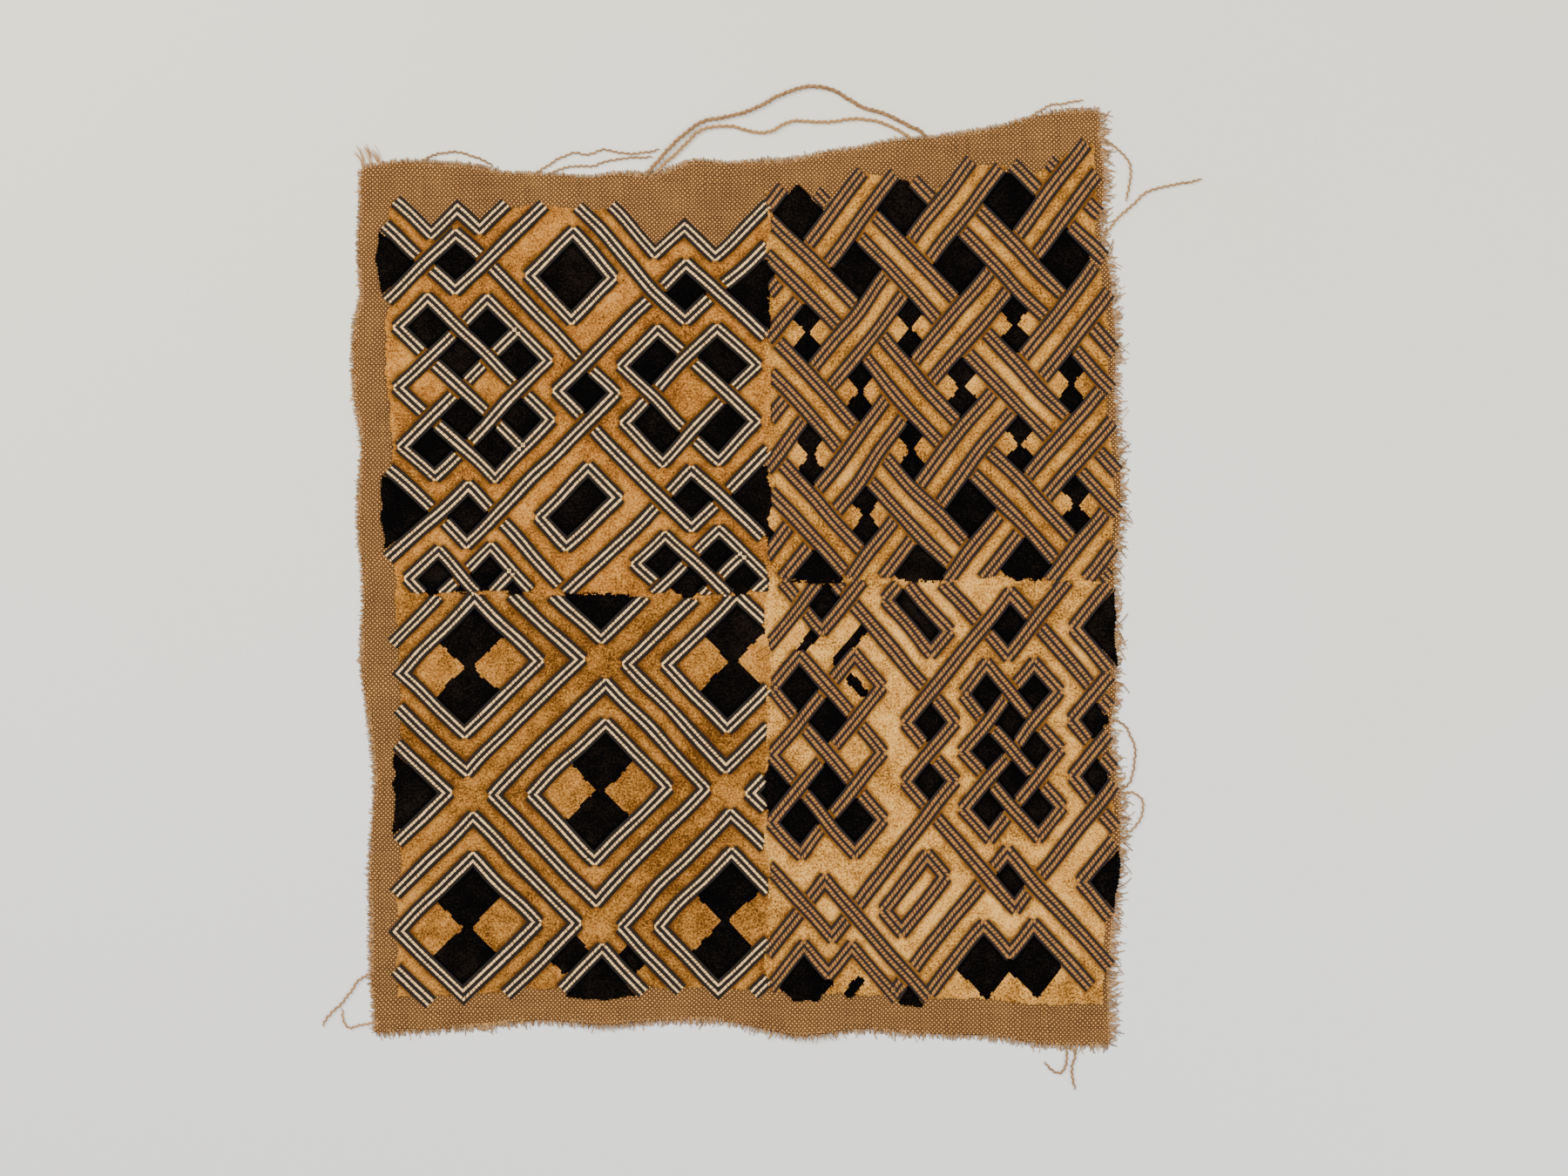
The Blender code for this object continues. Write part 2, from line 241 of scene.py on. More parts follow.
def lift(points: np.ndarray) -> np.ndarray:
    """How far the edge stands off the surface: a sum of bell curves, one for each lift.

    Args:
        points: Places in millimetres, with x and y in the last axis.

    Returns:
        One height in millimetres for each place.
    """
    height = np.zeros(points.shape[:-1])
    for x, y, reach, top in LIFTS:
        height += top * np.exp(-((points[..., 0] - x) ** 2 + (points[..., 1] - y) ** 2) / reach**2)
    return height


def value_noise(points: np.ndarray, wavelength: float, seed: int) -> np.ndarray:
    """Smooth noise from -1 to 1: seeded values on a lattice, eased from one corner to the next.

    Args:
        points: Places, with x and y in the last axis.
        wavelength: Distance between two lattice points, in the same unit.
        seed: Picks the values.

    Returns:
        One value for each place.
    """
    size = 256
    table = np.random.default_rng(seed).uniform(-1, 1, (size, size))
    scaled = points / wavelength
    cell = np.floor(scaled).astype(int)
    share = scaled - cell
    ease = share * share * (3 - 2 * share)
    i, j = cell[..., 0] % size, cell[..., 1] % size
    i_next, j_next = (i + 1) % size, (j + 1) % size
    low = table[i, j] * (1 - ease[..., 0]) + table[i_next, j] * ease[..., 0]
    high = table[i, j_next] * (1 - ease[..., 0]) + table[i_next, j_next] * ease[..., 0]
    return low * (1 - ease[..., 1]) + high * ease[..., 1]


def to_cloth(design: np.ndarray) -> np.ndarray:
    """Places on the cloth, in millimetres, of places in the design: a turn by 45 degrees and a scale."""
    a, b = design[..., 0], design[..., 1]
    return np.stack([(a + b), (b - a)], axis=-1) * (SQUARE / DIAGONAL)


def to_design(x: float, y: float) -> tuple[float, float]:
    """The place in the design, in squares, of a place on the cloth in millimetres."""
    return (x - y) / (SQUARE * DIAGONAL), (x + y) / (SQUARE * DIAGONAL)


def field_margin(places: np.ndarray) -> np.ndarray:
    """How far inside the embroidered field a place is: the least of its distances from the four sides.

    Args:
        places: Places in millimetres, with x and y in the last axis.

    Returns:
        One distance in millimetres for each place, under 0 outside the field.
    """
    x, y = places[..., 0], places[..., 1]
    sides = (TOP_SIDE, RIGHT_SIDE, BOTTOM_SIDE, LEFT_SIDE)
    top, right, bottom, left = (np.array(side, float)[:, 2:] for side in sides)
    return np.minimum.reduce([
        np.interp(x, top[:, 0], top[:, 1]) - y,
        y - np.interp(x, bottom[::-1, 0], bottom[::-1, 1]),
        np.interp(y, right[::-1, 1], right[::-1, 0]) - x,
        x - np.interp(y, left[:, 1], left[:, 0]),
    ])


def box_distance(a: np.ndarray, b: np.ndarray, box: Box, rounding: float = 0.0) -> np.ndarray:
    """Signed distance to a box's edge, under 0 inside, with its corners rounded.

    Args:
        a: First coordinates.
        b: Second coordinates.
        box: Its middle in a and b, and half its sizes.
        rounding: Radius of its corners.

    Returns:
        One distance for each place.
    """
    da = np.abs(a - box[0]) - (box[2] - rounding)
    db = np.abs(b - box[1]) - (box[3] - rounding)
    return np.hypot(np.maximum(da, 0), np.maximum(db, 0)) + np.minimum(np.maximum(da, db), 0) - rounding


class Thread(Enum):
    """The light lines of a band: undyed cream raffia, or raffia in its darker brown."""

    CREAM = "cream"
    BROWN = "brown"


class Fill(Enum):
    """What a cell of the design is worked in."""

    SOLID = "black pile all over"
    QUARTERED = "black pile with a tan square at two of its corners"
    BARE = "no pile, so that the weave shows"


@dataclass(frozen=True)
class Strand:
    """One band of stitched lines, as the corners that it turns at, in squares. Each run is along a or b."""

    corners: tuple[tuple[float, float], ...]
    width: float

    def runs(self) -> np.ndarray:
        """Its straight runs, one row each: start a, start b, end a, end b."""
        corners = np.array(self.corners, float)
        return np.hstack([corners[:-1], corners[1:]])


@dataclass(frozen=True)
class Crossing:
    """A square where one direction passes over: the runs in the other direction aren't seen there."""

    a: float
    b: float
    half: float
    over_along_a: bool


@dataclass(frozen=True)
class Cell:
    """A box of pile in the design: its middle, half its sizes and its fill."""

    a: float
    b: float
    half_a: float
    half_b: float
    fill: Fill


def ring(a: float, b: float, half_a: float, half_b: float, width: float) -> Strand:
    """A closed rectangular band around a middle. It starts halfway along a side, so each corner is mitred.

    Args:
        a: The middle's a.
        b: The middle's b.
        half_a: Half its size along a.
        half_b: Half its size along b.
        width: The band's width.

    Returns:
        The band.
    """
    return Strand(
        ((a, b + half_b), (a + half_a, b + half_b), (a + half_a, b - half_b), (a - half_a, b - half_b),
         (a - half_a, b + half_b), (a, b + half_b)),
        width,
    )


def crossings_of(strands: list[Strand], over_along_a: Callable[[float, float], bool]) -> list[Crossing]:
    """Where runs along a meet runs along b, away from their ends.

    Args:
        strands: The bands of one weave.
        over_along_a: Takes a and b, and says whether the run along a passes over there.

    Returns:
        One crossing for each meeting.
    """
    found = []
    runs = np.vstack([strand.runs() for strand in strands])
    widths = np.concatenate([[strand.width] * (len(strand.corners) - 1) for strand in strands])
    along_a = np.isclose(runs[:, 1], runs[:, 3])
    past = CROSSING_REACH
    for row, row_width in zip(runs[along_a], widths[along_a]):
        low, high = sorted((row[0], row[2]))
        for column in runs[~along_a]:
            bottom, top = sorted((column[1], column[3]))
            if low + past < column[0] < high - past and bottom + past < row[1] < top - past:
                over = bool(over_along_a(column[0], row[1]))
                found.append(Crossing(column[0], row[1], row_width / 2 + CROSSING_GAP, over))
    return found


@dataclass(frozen=True)
class Design:
    """What a quarter is worked in: its bands, where they cross, and its black cells."""

    strands: list[Strand]
    crossings: list[Crossing]
    cells: list[Cell]

    def add(self, part: "Design") -> None:
        """Takes in everything that a part holds."""
        self.strands.extend(part.strands)
        self.crossings.extend(part.crossings)
        self.cells.extend(part.cells)


def boxed_cell(box: Box, width: float, fill: Fill) -> Cell:
    """The cell inside a closed band. It reaches a little under the band.

    Args:
        box: The band's middle and half sizes.
        width: The band's width.
        fill: What the cell is worked in.

    Returns:
        The cell.
    """
    a, b, half_a, half_b = box
    inner = width / 2 - UNDER_BAND
    return Cell(a, b, half_a - inner, half_b - inner, fill)


@dataclass(frozen=True)
class KnotChart:
    """The small chart of a knot, in columns and rows.

    Fields: its route, its black cells, and where it passes over along a.
    """

    route: tuple[tuple[int, int], ...]
    black: tuple[tuple[int, int], ...]
    over_along_a: tuple[tuple[int, int], ...]


# Two ends of this one run into the side of another run
OPEN_KNOT = KnotChart(
    ((2, 0), (-2, 0), (-2, 1), (2, 1), (2, -1), (-1, -1), (-1, 2), (1, 2), (1, -2), (0, -2), (0, 2)),
    ((-1, 1), (0, 1), (-2, 0), (-1, 0), (0, -1), (0, -2), (1, 0), (1, -1)),
    ((-1, 1), (0, 1), (0, 0), (1, -1)),
)
# This one closes on itself and passes over and under in turn. The second kind has two cells left tan
CLOSED_ROUTE = (
    (-2, 0), (2, 0), (2, -1), (-1, -1), (-1, 2), (0, 2), (0, -2), (1, -2), (1, 1), (-2, 1), (-2, 0),
)
CLOSED_KNOT = KnotChart(
    CLOSED_ROUTE, ((-2, 0), (-1, 1), (-1, 0), (-1, -1), (0, 0), (0, -1), (0, -2), (1, -1)),
    ((-1, 1), (0, 0), (1, -1)),
)
CLOSED_KNOT_WITH_TAN = KnotChart(
    CLOSED_ROUTE, ((-2, 0), (-1, 0), (0, -1), (0, -2), (1, -1), (-1, -2)), ((-1, 1), (0, 0), (1, -1))
)


@dataclass(frozen=True)
class EndlessKnot:
    """One band that runs in and out of five columns and five rows, placed by its middle and its unit."""

    a: float
    b: float
    unit_a: float
    unit_b: float
    chart: KnotChart = OPEN_KNOT
    width: float = KNOT_BAND

    def place(self, column: float, row: float) -> tuple[float, float]:
        """A point of the knot's chart, in squares."""
        return self.a + column * self.unit_a, self.b + row * self.unit_b

    def design(self) -> Design:
        """Its band, its crossings and its black cells, which reach under the bands around them.

        Returns:
            The knot's part of the design.
        """
        band = Strand(tuple(self.place(*point) for point in self.chart.route), self.width)

        def over(a: float, b: float) -> bool:
            """Over along a where the chart says so."""
            spot = (round((a - self.a) / self.unit_a), round((b - self.b) / self.unit_b))
            return spot in self.chart.over_along_a

        half_a = (self.unit_a - self.width) / 2 + UNDER_BAND
        half_b = (self.unit_b - self.width) / 2 + UNDER_BAND
        middles = [self.place(column + 0.5, row + 0.5) for column, row in self.chart.black]
        cells = [Cell(a, b, half_a, half_b, Fill.SOLID) for a, b in middles]
        return Design([band], crossings_of([band], over), cells)


@dataclass(frozen=True)
class KnotOutline:
    """The two steps of a knot's outline that are worked where the border cuts the knot off.

    Towards is -1 for the lower steps and 1 for the upper ones. The inside is bare weave, or two black cells,
    or only the left one of them.
    """

    a: float
    b: float
    unit_a: float
    unit_b: float
    towards: int
    fill: Fill
    left_only: bool = False
    width: float = KNOT_BAND

    def place(self, column: float, row: float) -> tuple[float, float]:
        """A point of the outline, in squares: the upper steps mirror the lower ones."""
        return self.a - self.towards * column * self.unit_a, self.b - self.towards * row * self.unit_b

    def design(self) -> Design:
        """Its open band and its cells.

        Returns:
            The outline's part of the design.
        """
        steps = ((-1.2, -2), (1, -2), (1, -1), (2, -1), (2, 1.2))
        band = Strand(tuple(self.place(*point) for point in steps), self.width)
        # Middle and half sizes of each cell, in units of the outline
        if self.fill is Fill.BARE:
            boxes = [((-0.5, 0.9), (1.5, 2.9)), ((0.9, 1.4), (1.1, 2.4))]
        else:
            boxes = [((1.35, -0.35), (0.63, 0.63)), ((0.35, -1.35), (0.63, 0.63))]
        cells = [
            Cell(*self.place(*middle), half[0] * self.unit_a, half[1] * self.unit_b, self.fill)
            for middle, half in boxes[: 1 if self.left_only else 2]
        ]
        return Design([band], [], cells)


@dataclass(frozen=True)
class CrossedKnot:
    """Two rectangular rings, one upright and one level, that link four times. The arms' ends are black."""

    a: float
    b: float
    reach_a: float
    reach_b: float
    arm: float
    width: float = KNOT_BAND

    def design(self) -> Design:
        """Its two rings, the four crossings and the four black cells.

        Returns:
            The knot's part of the design.
        """
        rings = [
            ring(self.a, self.b, self.arm, self.reach_b, self.width),
            ring(self.a, self.b, self.reach_a, self.arm, self.width),
        ]

        def over(a: float, b: float) -> bool:
            """Over along a at two opposite crossings."""
            return (a - self.a) * (b - self.b) > 0

        inner = self.arm - self.width / 2 + UNDER_BAND
        half_a = (self.reach_a - self.arm - self.width) / 2 + UNDER_BAND
        half_b = (self.reach_b - self.arm - self.width) / 2 + UNDER_BAND
        out_a, out_b = (self.reach_a + self.arm) / 2, (self.reach_b + self.arm) / 2
        cells = [
            Cell(self.a - out_a, self.b, half_a, inner, Fill.SOLID),
            Cell(self.a + out_a, self.b, half_a, inner, Fill.SOLID),
            Cell(self.a, self.b - out_b, inner, half_b, Fill.SOLID),
            Cell(self.a, self.b + out_b, inner, half_b, Fill.SOLID),
        ]
        return Design(rings, crossings_of(rings, over), cells)


@dataclass(frozen=True)
class Quarter:
    """One quarter of the embroidery: where it lies, its thread, and how its lattice leans.

    Fields: name; the box that it fills, in millimetres; the light thread; the place in the design that its
    columns and rows lean about, and their leans; and the seed of the hand's wobble.
    """

    name: str
    left: float
    bottom: float
    right: float
    top: float
    thread: Thread
    anchor: tuple[float, float]
    column_lean: float
    row_lean: float
    seed: int

    def design(self) -> Design:
        """What the quarter is worked in."""
        raise NotImplementedError

    def shares(self, places: np.ndarray) -> np.ndarray:
        """Whether places are on the quarter's side of the ragged lines between the quarters.

        Args:
            places: Places in millimetres, with x and y in the last axis.

        Returns:
            One true or false for each place.
        """
        x = places[..., 0] + RAGGED_SIZE * value_noise(places, RAGGED_LENGTH, 7)
        y = places[..., 1] + RAGGED_SIZE * value_noise(places, RAGGED_LENGTH, 8)
        return (x > self.left) & (x < self.right) & (y > self.bottom) & (y < self.top)

    def wobble(self, design: np.ndarray, seed: int) -> np.ndarray:
        """How far the hand strays at places of the design, in squares: a broad and a fine wobble."""
        return 1.3 * value_noise(design, 38, seed) + 0.35 * value_noise(design, 11, seed + 1)

    def drawn(self, design: np.ndarray) -> np.ndarray:
        """Where the hand has put places of the design: they lean about the anchor, and stray along a and b.

        Args:
            design: Places in squares, with a and b in the last axis.

        Returns:
            Places on the cloth in millimetres.
        """
        offset = design - np.array(self.anchor)
        lean = np.stack([offset[..., 1] * self.column_lean, offset[..., 0] * self.row_lean], axis=-1)
        moved = design + lean
        wobble = np.stack([self.wobble(design, self.seed), self.wobble(design, self.seed + 2)], axis=-1)
        return to_cloth(moved + wobble)

    def inside(self, places: np.ndarray, spare: np.ndarray | float) -> np.ndarray:
        """Whether places, in millimetres, are the quarter's and further inside the field than the spare."""
        return self.shares(places) & (field_margin(places) > spare)

    def reach(self) -> tuple[float, float, float, float]:
        """The stretch of the design that its box can need, with room for the wobble.

        Returns:
            Lowest a, lowest b, highest a and highest b, in squares.
        """
        corners = [to_design(x, y) for x in (self.left, self.right) for y in (self.bottom, self.top)]
        a, b = zip(*corners)
        spare = 12
        return min(a) - spare, min(b) - spare, max(a) + spare, max(b) + spare


@dataclass(frozen=True)
class RingQuarter(Quarter):
    """Linked rings: each second cell of the lattice holds a knot inside a ring, and the others a diamond.

    Two rings that meet at a corner of the lattice lap over each other by twice the link, and the small
    square inside the link is black. Fields: the lattice's lines; the cells with a crossed knot; the cells
    whose knot is only outlined; and, by cell, the half sizes of a diamond's band. A diamond without sizes
    lies at the border and is black up to the rings around it. Then come the room that a knot's unit leaves,
    and for a crossed knot the room around it and half the width of its arms.
    """

    columns: tuple[float, ...]
    rows: tuple[float, ...]
    crossed: tuple[tuple[int, int], ...]
    outlined: tuple[tuple[int, int], ...]
    diamonds: dict[tuple[int, int], tuple[float, float]]
    knot_room: tuple[float, float] = (0.9, 0.6)
    crossed_room: tuple[float, float] = (2.0, 1.5)
    crossed_arm: float = 8.0
    over_along_a_from: float = -70.0
    link: float = 6.0
    band: float = CREAM_BAND

    def knot_at(self, i: int, j: int, box: Box) -> Design:
        """The knot inside the ring of one cell, with a little room between them.

        Args:
            i: The cell's column.
            j: The cell's row.
            box: The cell's middle and half sizes.

        Returns:
            The knot's part of the design.
        """
        a, b, half_a, half_b = box
        units = (half_a / 2 - self.knot_room[0], half_b / 2 - self.knot_room[1])
        if (i, j) in self.crossed:
            reaches = (half_a - self.crossed_room[0], half_b - self.crossed_room[1])
            return CrossedKnot(a, b, *reaches, self.crossed_arm).design()
        if (i, j) in self.outlined:
            return KnotOutline(a, b, *units, -1, Fill.BARE).design()
        return EndlessKnot(a, b, *units).design()

    def diamond_at(self, i: int, j: int, box: Box) -> Design:
        """The diamond of one cell: a black middle and one closed band, or black up to the rings.

        Args:
            i: The cell's column.
            j: The cell's row.
            box: The cell's middle and half sizes.

        Returns:
            The diamond's part of the design.
        """
        a, b, half_a, half_b = box
        if (i, j) not in self.diamonds:
            around = (a, b, half_a - self.link, half_b - self.link)
            return Design([], [], [boxed_cell(around, self.band, Fill.SOLID)])
        sizes = self.diamonds[i, j]
        middle = boxed_cell((a, b, *sizes), self.band, Fill.SOLID)
        return Design([ring(a, b, *sizes, self.band)], [], [middle])

    def design(self) -> Design:
        """All rings, links, knots and diamonds of the quarter.

        Returns:
            The quarter's design.
        """
        whole, rings = Design([], [], []), []
        for i, (left, right) in enumerate(zip(self.columns, self.columns[1:])):
            for j, (low, high) in enumerate(zip(self.rows, self.rows[1:])):
                box = ((left + right) / 2, (low + high) / 2, (right - left) / 2, (high - low) / 2)
                if (i + j) % 2:
                    whole.add(self.diamond_at(i, j, box))
                    continue
                whole.add(self.knot_at(i, j, box))
                rings.append(ring(*box[:2], box[2] + self.link, box[3] + self.link, self.band))

        def over(a: float, b: float) -> bool:
            """Over along a on the right-hand side, as a place on the cloth."""
            return (a + b) * SQUARE / DIAGONAL > self.over_along_a_from

        half = self.link - self.band / 2 + UNDER_BAND
        links = [Cell(a, b, half, half, Fill.SOLID) for a in self.columns for b in self.rows]
        whole.add(Design(rings, crossings_of(rings, over), links))
        return whole


@dataclass(frozen=True)
class TwistedRing:
    """One square ring of a chain: its middle, half its size, and the chart of the knot inside it."""

    a: float
    b: float
    half: float
    chart: KnotChart | None = None

    @property
    def low_a(self) -> float:
        """Its lowest a."""
        return self.a - self.half

    @property
    def high_a(self) -> float:
        """Its highest a."""
        return self.a + self.half

    @property
    def low_b(self) -> float:
        """Its lowest b."""
        return self.b - self.half

    @property
    def high_b(self) -> float:
        """Its highest b."""
        return self.b + self.half

    @property
    def unit(self) -> float:
        """The unit of its knot: a sixth of the ring's size, and one square."""
        return self.half / 3 + 1


@dataclass(frozen=True)
class ChainQuarter(Quarter):
    """Chains of rings. Each ring is twisted twice with the next one to its right, and linked once with those
    above and below it. The chains' two bands take turns over and under the rings.

    Fields: the chains, each from left to right; the diamonds between them, as middle and half sizes, with
    their fill; single black stripes in the tan frames; outlines of knots that the border cuts off; about
    where the one link lies that is tan inside, and how far around; how far a link is from any twist; and
    the least and the greatest size of a link.
    """

    chains: tuple[tuple[TwistedRing, ...], ...]
    diamonds: tuple[tuple[float, float, float, float, Fill | None], ...]
    stripes: tuple[Box, ...]
    outlines: tuple[KnotOutline, ...]
    tan_link: tuple[float, float]
    link_reach: float = 6.0
    clear_of_twists: float = 13.0
    link_sizes: tuple[float, float] = (6.0, 17.0)
    over_along_a_below: float = 100.0
    band: float = BROWN_BAND

    def chain(self, rings: tuple[TwistedRing, ...]) -> tuple[list[Strand], list[Cell]]:
        """The two bands of a chain and the black squares of its twists.

        One band passes above the even rings and below the odd ones, and the other the other way round.
        Between two rings they cross three times, and their middle runs lie halfway.

        Args:
            rings: The chain's rings, from left to right.

        Returns:
            The bands and the black squares.
        """
        pairs = list(zip(rings, rings[1:]))
        middle_a = [None, *((one.high_a + two.low_a) / 2 for one, two in pairs), None]
        middle_b = [None, *((one.high_b + two.low_b) / 2 for one, two in pairs), None]
        strands, cells = [], []
        for turn in (0, 1):
            corners = []
            for k, one in enumerate(rings):
                if (k + turn) % 2 == 0:
                    corners += [
                        (one.low_a, one.low_b if middle_b[k] is None else middle_b[k]),
                        (one.low_a, one.high_b),
                        (one.high_a if middle_a[k + 1] is None else middle_a[k + 1], one.high_b),
                    ]
                else:
                    corners += [
                        (one.low_a if middle_a[k] is None else middle_a[k], one.low_b),
                        (one.high_a, one.low_b),
                        (one.high_a, one.high_b if middle_b[k + 1] is None else middle_b[k + 1]),
                    ]
            strands.append(Strand(tuple(corners), self.band))
        for k, (one, two) in enumerate(pairs):
            a, b = middle_a[k + 1], middle_b[k + 1]
            boxes = (
                ((two.low_a + a) / 2, (b + one.high_b) / 2, (a - two.low_a) / 2, (one.high_b - b) / 2),
                ((a + one.high_a) / 2, (two.low_b + b) / 2, (one.high_a - a) / 2, (b - two.low_b) / 2),
            )
            cells += [boxed_cell(box, self.band, Fill.SOLID) for box in boxes]
        return strands, cells

    def link_cells(self, crossings: list[Crossing], twists: list[Cell]) -> list[Cell]:
        """The black squares of the links: between two crossings that lie away from the twists.

        Args:
            crossings: The crossings of the chains.
            twists: The black squares of the twists.

        Returns:
            One cell for each link but the tan one.
        """
        clear = self.clear_of_twists
        simple = [
            c for c in crossings
            if not any(abs(c.a - x.a) < clear and abs(c.b - x.b) < clear for x in twists)
        ]
        least, most = self.link_sizes
        cells = []
        for one in simple:
            for two in simple:
                size_a, size_b = two.a - one.a, abs(two.b - one.b)
                if not (least < size_a < most and least < size_b < most):
                    continue
                box = ((one.a + two.a) / 2, (one.b + two.b) / 2, size_a / 2, size_b / 2)
                away = max(abs(box[0] - self.tan_link[0]), abs(box[1] - self.tan_link[1]))
                if away > self.link_reach:
                    cells.append(boxed_cell(box, self.band, Fill.SOLID))
        return cells

    def design(self) -> Design:
        """All chains, knots, diamonds, stripes and outlines of the quarter.

        Returns:
            The quarter's design.
        """
        whole, bands, links = Design([], [], []), [], []
        for rings in self.chains:
            strands, cells = self.chain(rings)
            bands += strands
            links += cells
            for one in rings:
                if one.chart is not None:
                    whole.add(EndlessKnot(one.a, one.b, one.unit, one.unit, one.chart).design())

        def over(a: float, b: float) -> bool:
            """Over along a in the lower part, as a place on the cloth."""
            return a - b > self.over_along_a_below

        crossings = crossings_of(bands, over)
        whole.add(Design(bands, crossings, links + self.link_cells(crossings, links)))
        for a, b, half_a, half_b, fill in self.diamonds:
            whole.strands.append(ring(a, b, half_a, half_b, self.band))
            if fill is not None:
                whole.cells.append(boxed_cell((a, b, half_a, half_b), self.band, fill))
        whole.cells.extend(Cell(*stripe, Fill.SOLID) for stripe in self.stripes)
        for outline in self.outlines:
            whole.add(outline.design())
        return whole


@dataclass(frozen=True)
class DiamondQuarter(Quarter):
    """Nested diamonds on an even lattice: two closed bands, with a quartered cell inside the inner one.

    Fields: the first diamond's middle; the pitches; half sizes of both bands; single black patches; and how
    many pitches before the first diamond the lattice starts.
    """

    first_a: float
    first_b: float
    pitch_a: float
    pitch_b: float
    outer: tuple[float, float]
    inner: tuple[float, float]
    patches: tuple[Box, ...]
    before: int = 8
    band: float = CREAM_BAND

    def design(self) -> Design:
        """The bands and cells of every diamond that the quarter's box can reach, and single black patches.

        A diamond whose middle is outside the quarter or its border has one band, and is black inside.

        Returns:
            The quarter's design.
        """
        low_a, low_b, high_a, high_b = self.reach()
        strands, cells = [], [Cell(*patch, Fill.SOLID) for patch in self.patches]
        start_a, start_b = self.first_a - self.before * self.pitch_a, self.first_b - self.before * self.pitch_b
        for a in np.arange(start_a, high_a + self.pitch_a, self.pitch_a):
            for b in np.arange(start_b, high_b + self.pitch_b, self.pitch_b):
                if a < low_a - self.pitch_a or b < low_b - self.pitch_b:
                    continue
                strands.append(ring(a, b, *self.outer, self.band))
                if self.inside(to_cloth(np.array([a, b])), 0.0):
                    strands.append(ring(a, b, *self.inner, self.band))
                    cells.append(boxed_cell((a, b, *self.inner), self.band, Fill.QUARTERED))
                else:
                    cells.append(boxed_cell((a, b, *self.outer), self.band, Fill.SOLID))
        return Design(strands, [], cells)


@dataclass(frozen=True)
class StrapQuarter(Quarter):
    """Straps that pass over and under each other. A strap is a bar of pile between two bands.

    The square hole between four straps is black or quartered. A hole's level is its row less its column,
    counted from the first hole. Fields: the quartered levels, and the holes that are black all the same.
    """

    first_a: float
    first_b: float
    pitch: float
    quartered_levels: tuple[int, ...]
    solid_holes: tuple[tuple[int, int], ...]
    half_strap: float = 4.0
    band: float = BROWN_BAND
    spare: float = 4.0

    def design(self) -> Design:
        """The bands of both directions, the crossings of whole straps, and the holes.

        Returns:
            The quarter's design.
        """
        low_a, low_b, high_a, high_b = self.reach()
        first_i, last_i = (round((edge - self.first_a) / self.pitch) for edge in (low_a, high_a))
        first_j, last_j = (round((edge - self.first_b) / self.pitch) for edge in (low_b, high_b))
        sides = (-self.half_strap, self.half_strap)
        lines_a = [self.first_a + i * self.pitch + side for i in range(first_i, last_i + 1) for side in sides]
        lines_b = [self.first_b + j * self.pitch + side for j in range(first_j, last_j + 1) for side in sides]
        strands = [Strand(((a, low_b), (a, high_b)), self.band) for a in lines_a]
        strands += [Strand(((low_a, b), (high_a, b)), self.band) for b in lines_b]
        cover = self.half_strap + self.band / 2 + 0.4
        hole = self.pitch / 2
        half = hole - self.half_strap - self.band / 2 + UNDER_BAND
        crossings, cells = [], []
        for i in range(first_i, last_i + 1):
            for j in range(first_j, last_j + 1):
                a, b = self.first_a + i * self.pitch, self.first_b + j * self.pitch
                crossings.append(Crossing(a, b, cover, (i + j) % 2 == 0))
                if field_margin(self.drawn(np.array([a + hole, b + hole]))) < -self.spare:
                    continue
                quartered = j - i in self.quartered_levels and (i, j) not in self.solid_holes
                fill = Fill.QUARTERED if quartered else Fill.SOLID
                cells.append(Cell(a + hole, b + hole, half, half, fill))
        return Design(strands, crossings, cells)


# First in each: name; left, bottom, right and top in millimetres; thread; anchor; column lean; row lean;
# seed. Rings, knots, diamonds and stripes are in squares
QUARTERS: tuple[Quarter, ...] = (
    RingQuarter(
        "upper_left", -280, -8, 19.5, 320, Thread.CREAM, (-80.0, 8.0), 0.0, 0.0, 11,
        columns=(-162, -123, -70, -27, 18), rows=(-92, -42, 7, 49, 98, 146), crossed=((2, 2),),
        outlined=((0, 2), (1, 3)), diamonds={(1, 2): (9, 9), (2, 1): (6, 10)},
    ),
    DiamondQuarter(
        "lower_left", -280, -320, 19.5, -8, Thread.CREAM, (13, -70), 0.0, 0.0, 23,
        first_a=-38, first_b=-71, pitch_a=52, pitch_b=54, outer=(21, 23), inner=(13, 15),
        patches=((38, -110, 5, 5), (54, -98, 4, 4)),
    ),
    StrapQuarter(
        "upper_right", 19.5, 3, 300, 350, Thread.BROWN, (-6, 96), -0.12, -0.02, 37,
        first_a=16, first_b=51, pitch=STRAP_PITCH, quartered_levels=(0, 1, 2, 3), solid_holes=((0, 0),),
    ),
    ChainQuarter(
        "lower_right", 19.5, -330, 300, 3, Thread.BROWN, (73, 5), -0.11, -0.07, 41,
        chains=(
            (
                TwistedRing(6, -60, 32),
                TwistedRing(50, -18, 34, CLOSED_KNOT_WITH_TAN),
                TwistedRing(91, 23, 29, CLOSED_KNOT),
                TwistedRing(129, 61, 30),
            ),
            (TwistedRing(-6, 36, 32, CLOSED_KNOT), TwistedRing(41, 72, 32, CLOSED_KNOT)),
            (TwistedRing(102, -72, 30), TwistedRing(140, -29, 32)),
        ),
        diamonds=((45, 28, 10, 4, Fill.SOLID), (95, -25, 4, 10, None), (92, 68, 9, 9, Fill.SOLID),
                  (139, 22, 9, 9, Fill.SOLID)),
        stripes=((25, -4, 1.5, 8), (35, 8, 1.5, 8), (44, 1, 4, 1.5), (98, -57, 1.5, 4)),
        outlines=(
            KnotOutline(138, -27, 11, 11, 1, Fill.SOLID),
            KnotOutline(101, -71, 11, 11, 1, Fill.SOLID, left_only=True),
        ),
        tan_link=(78, -47),
    ),
)


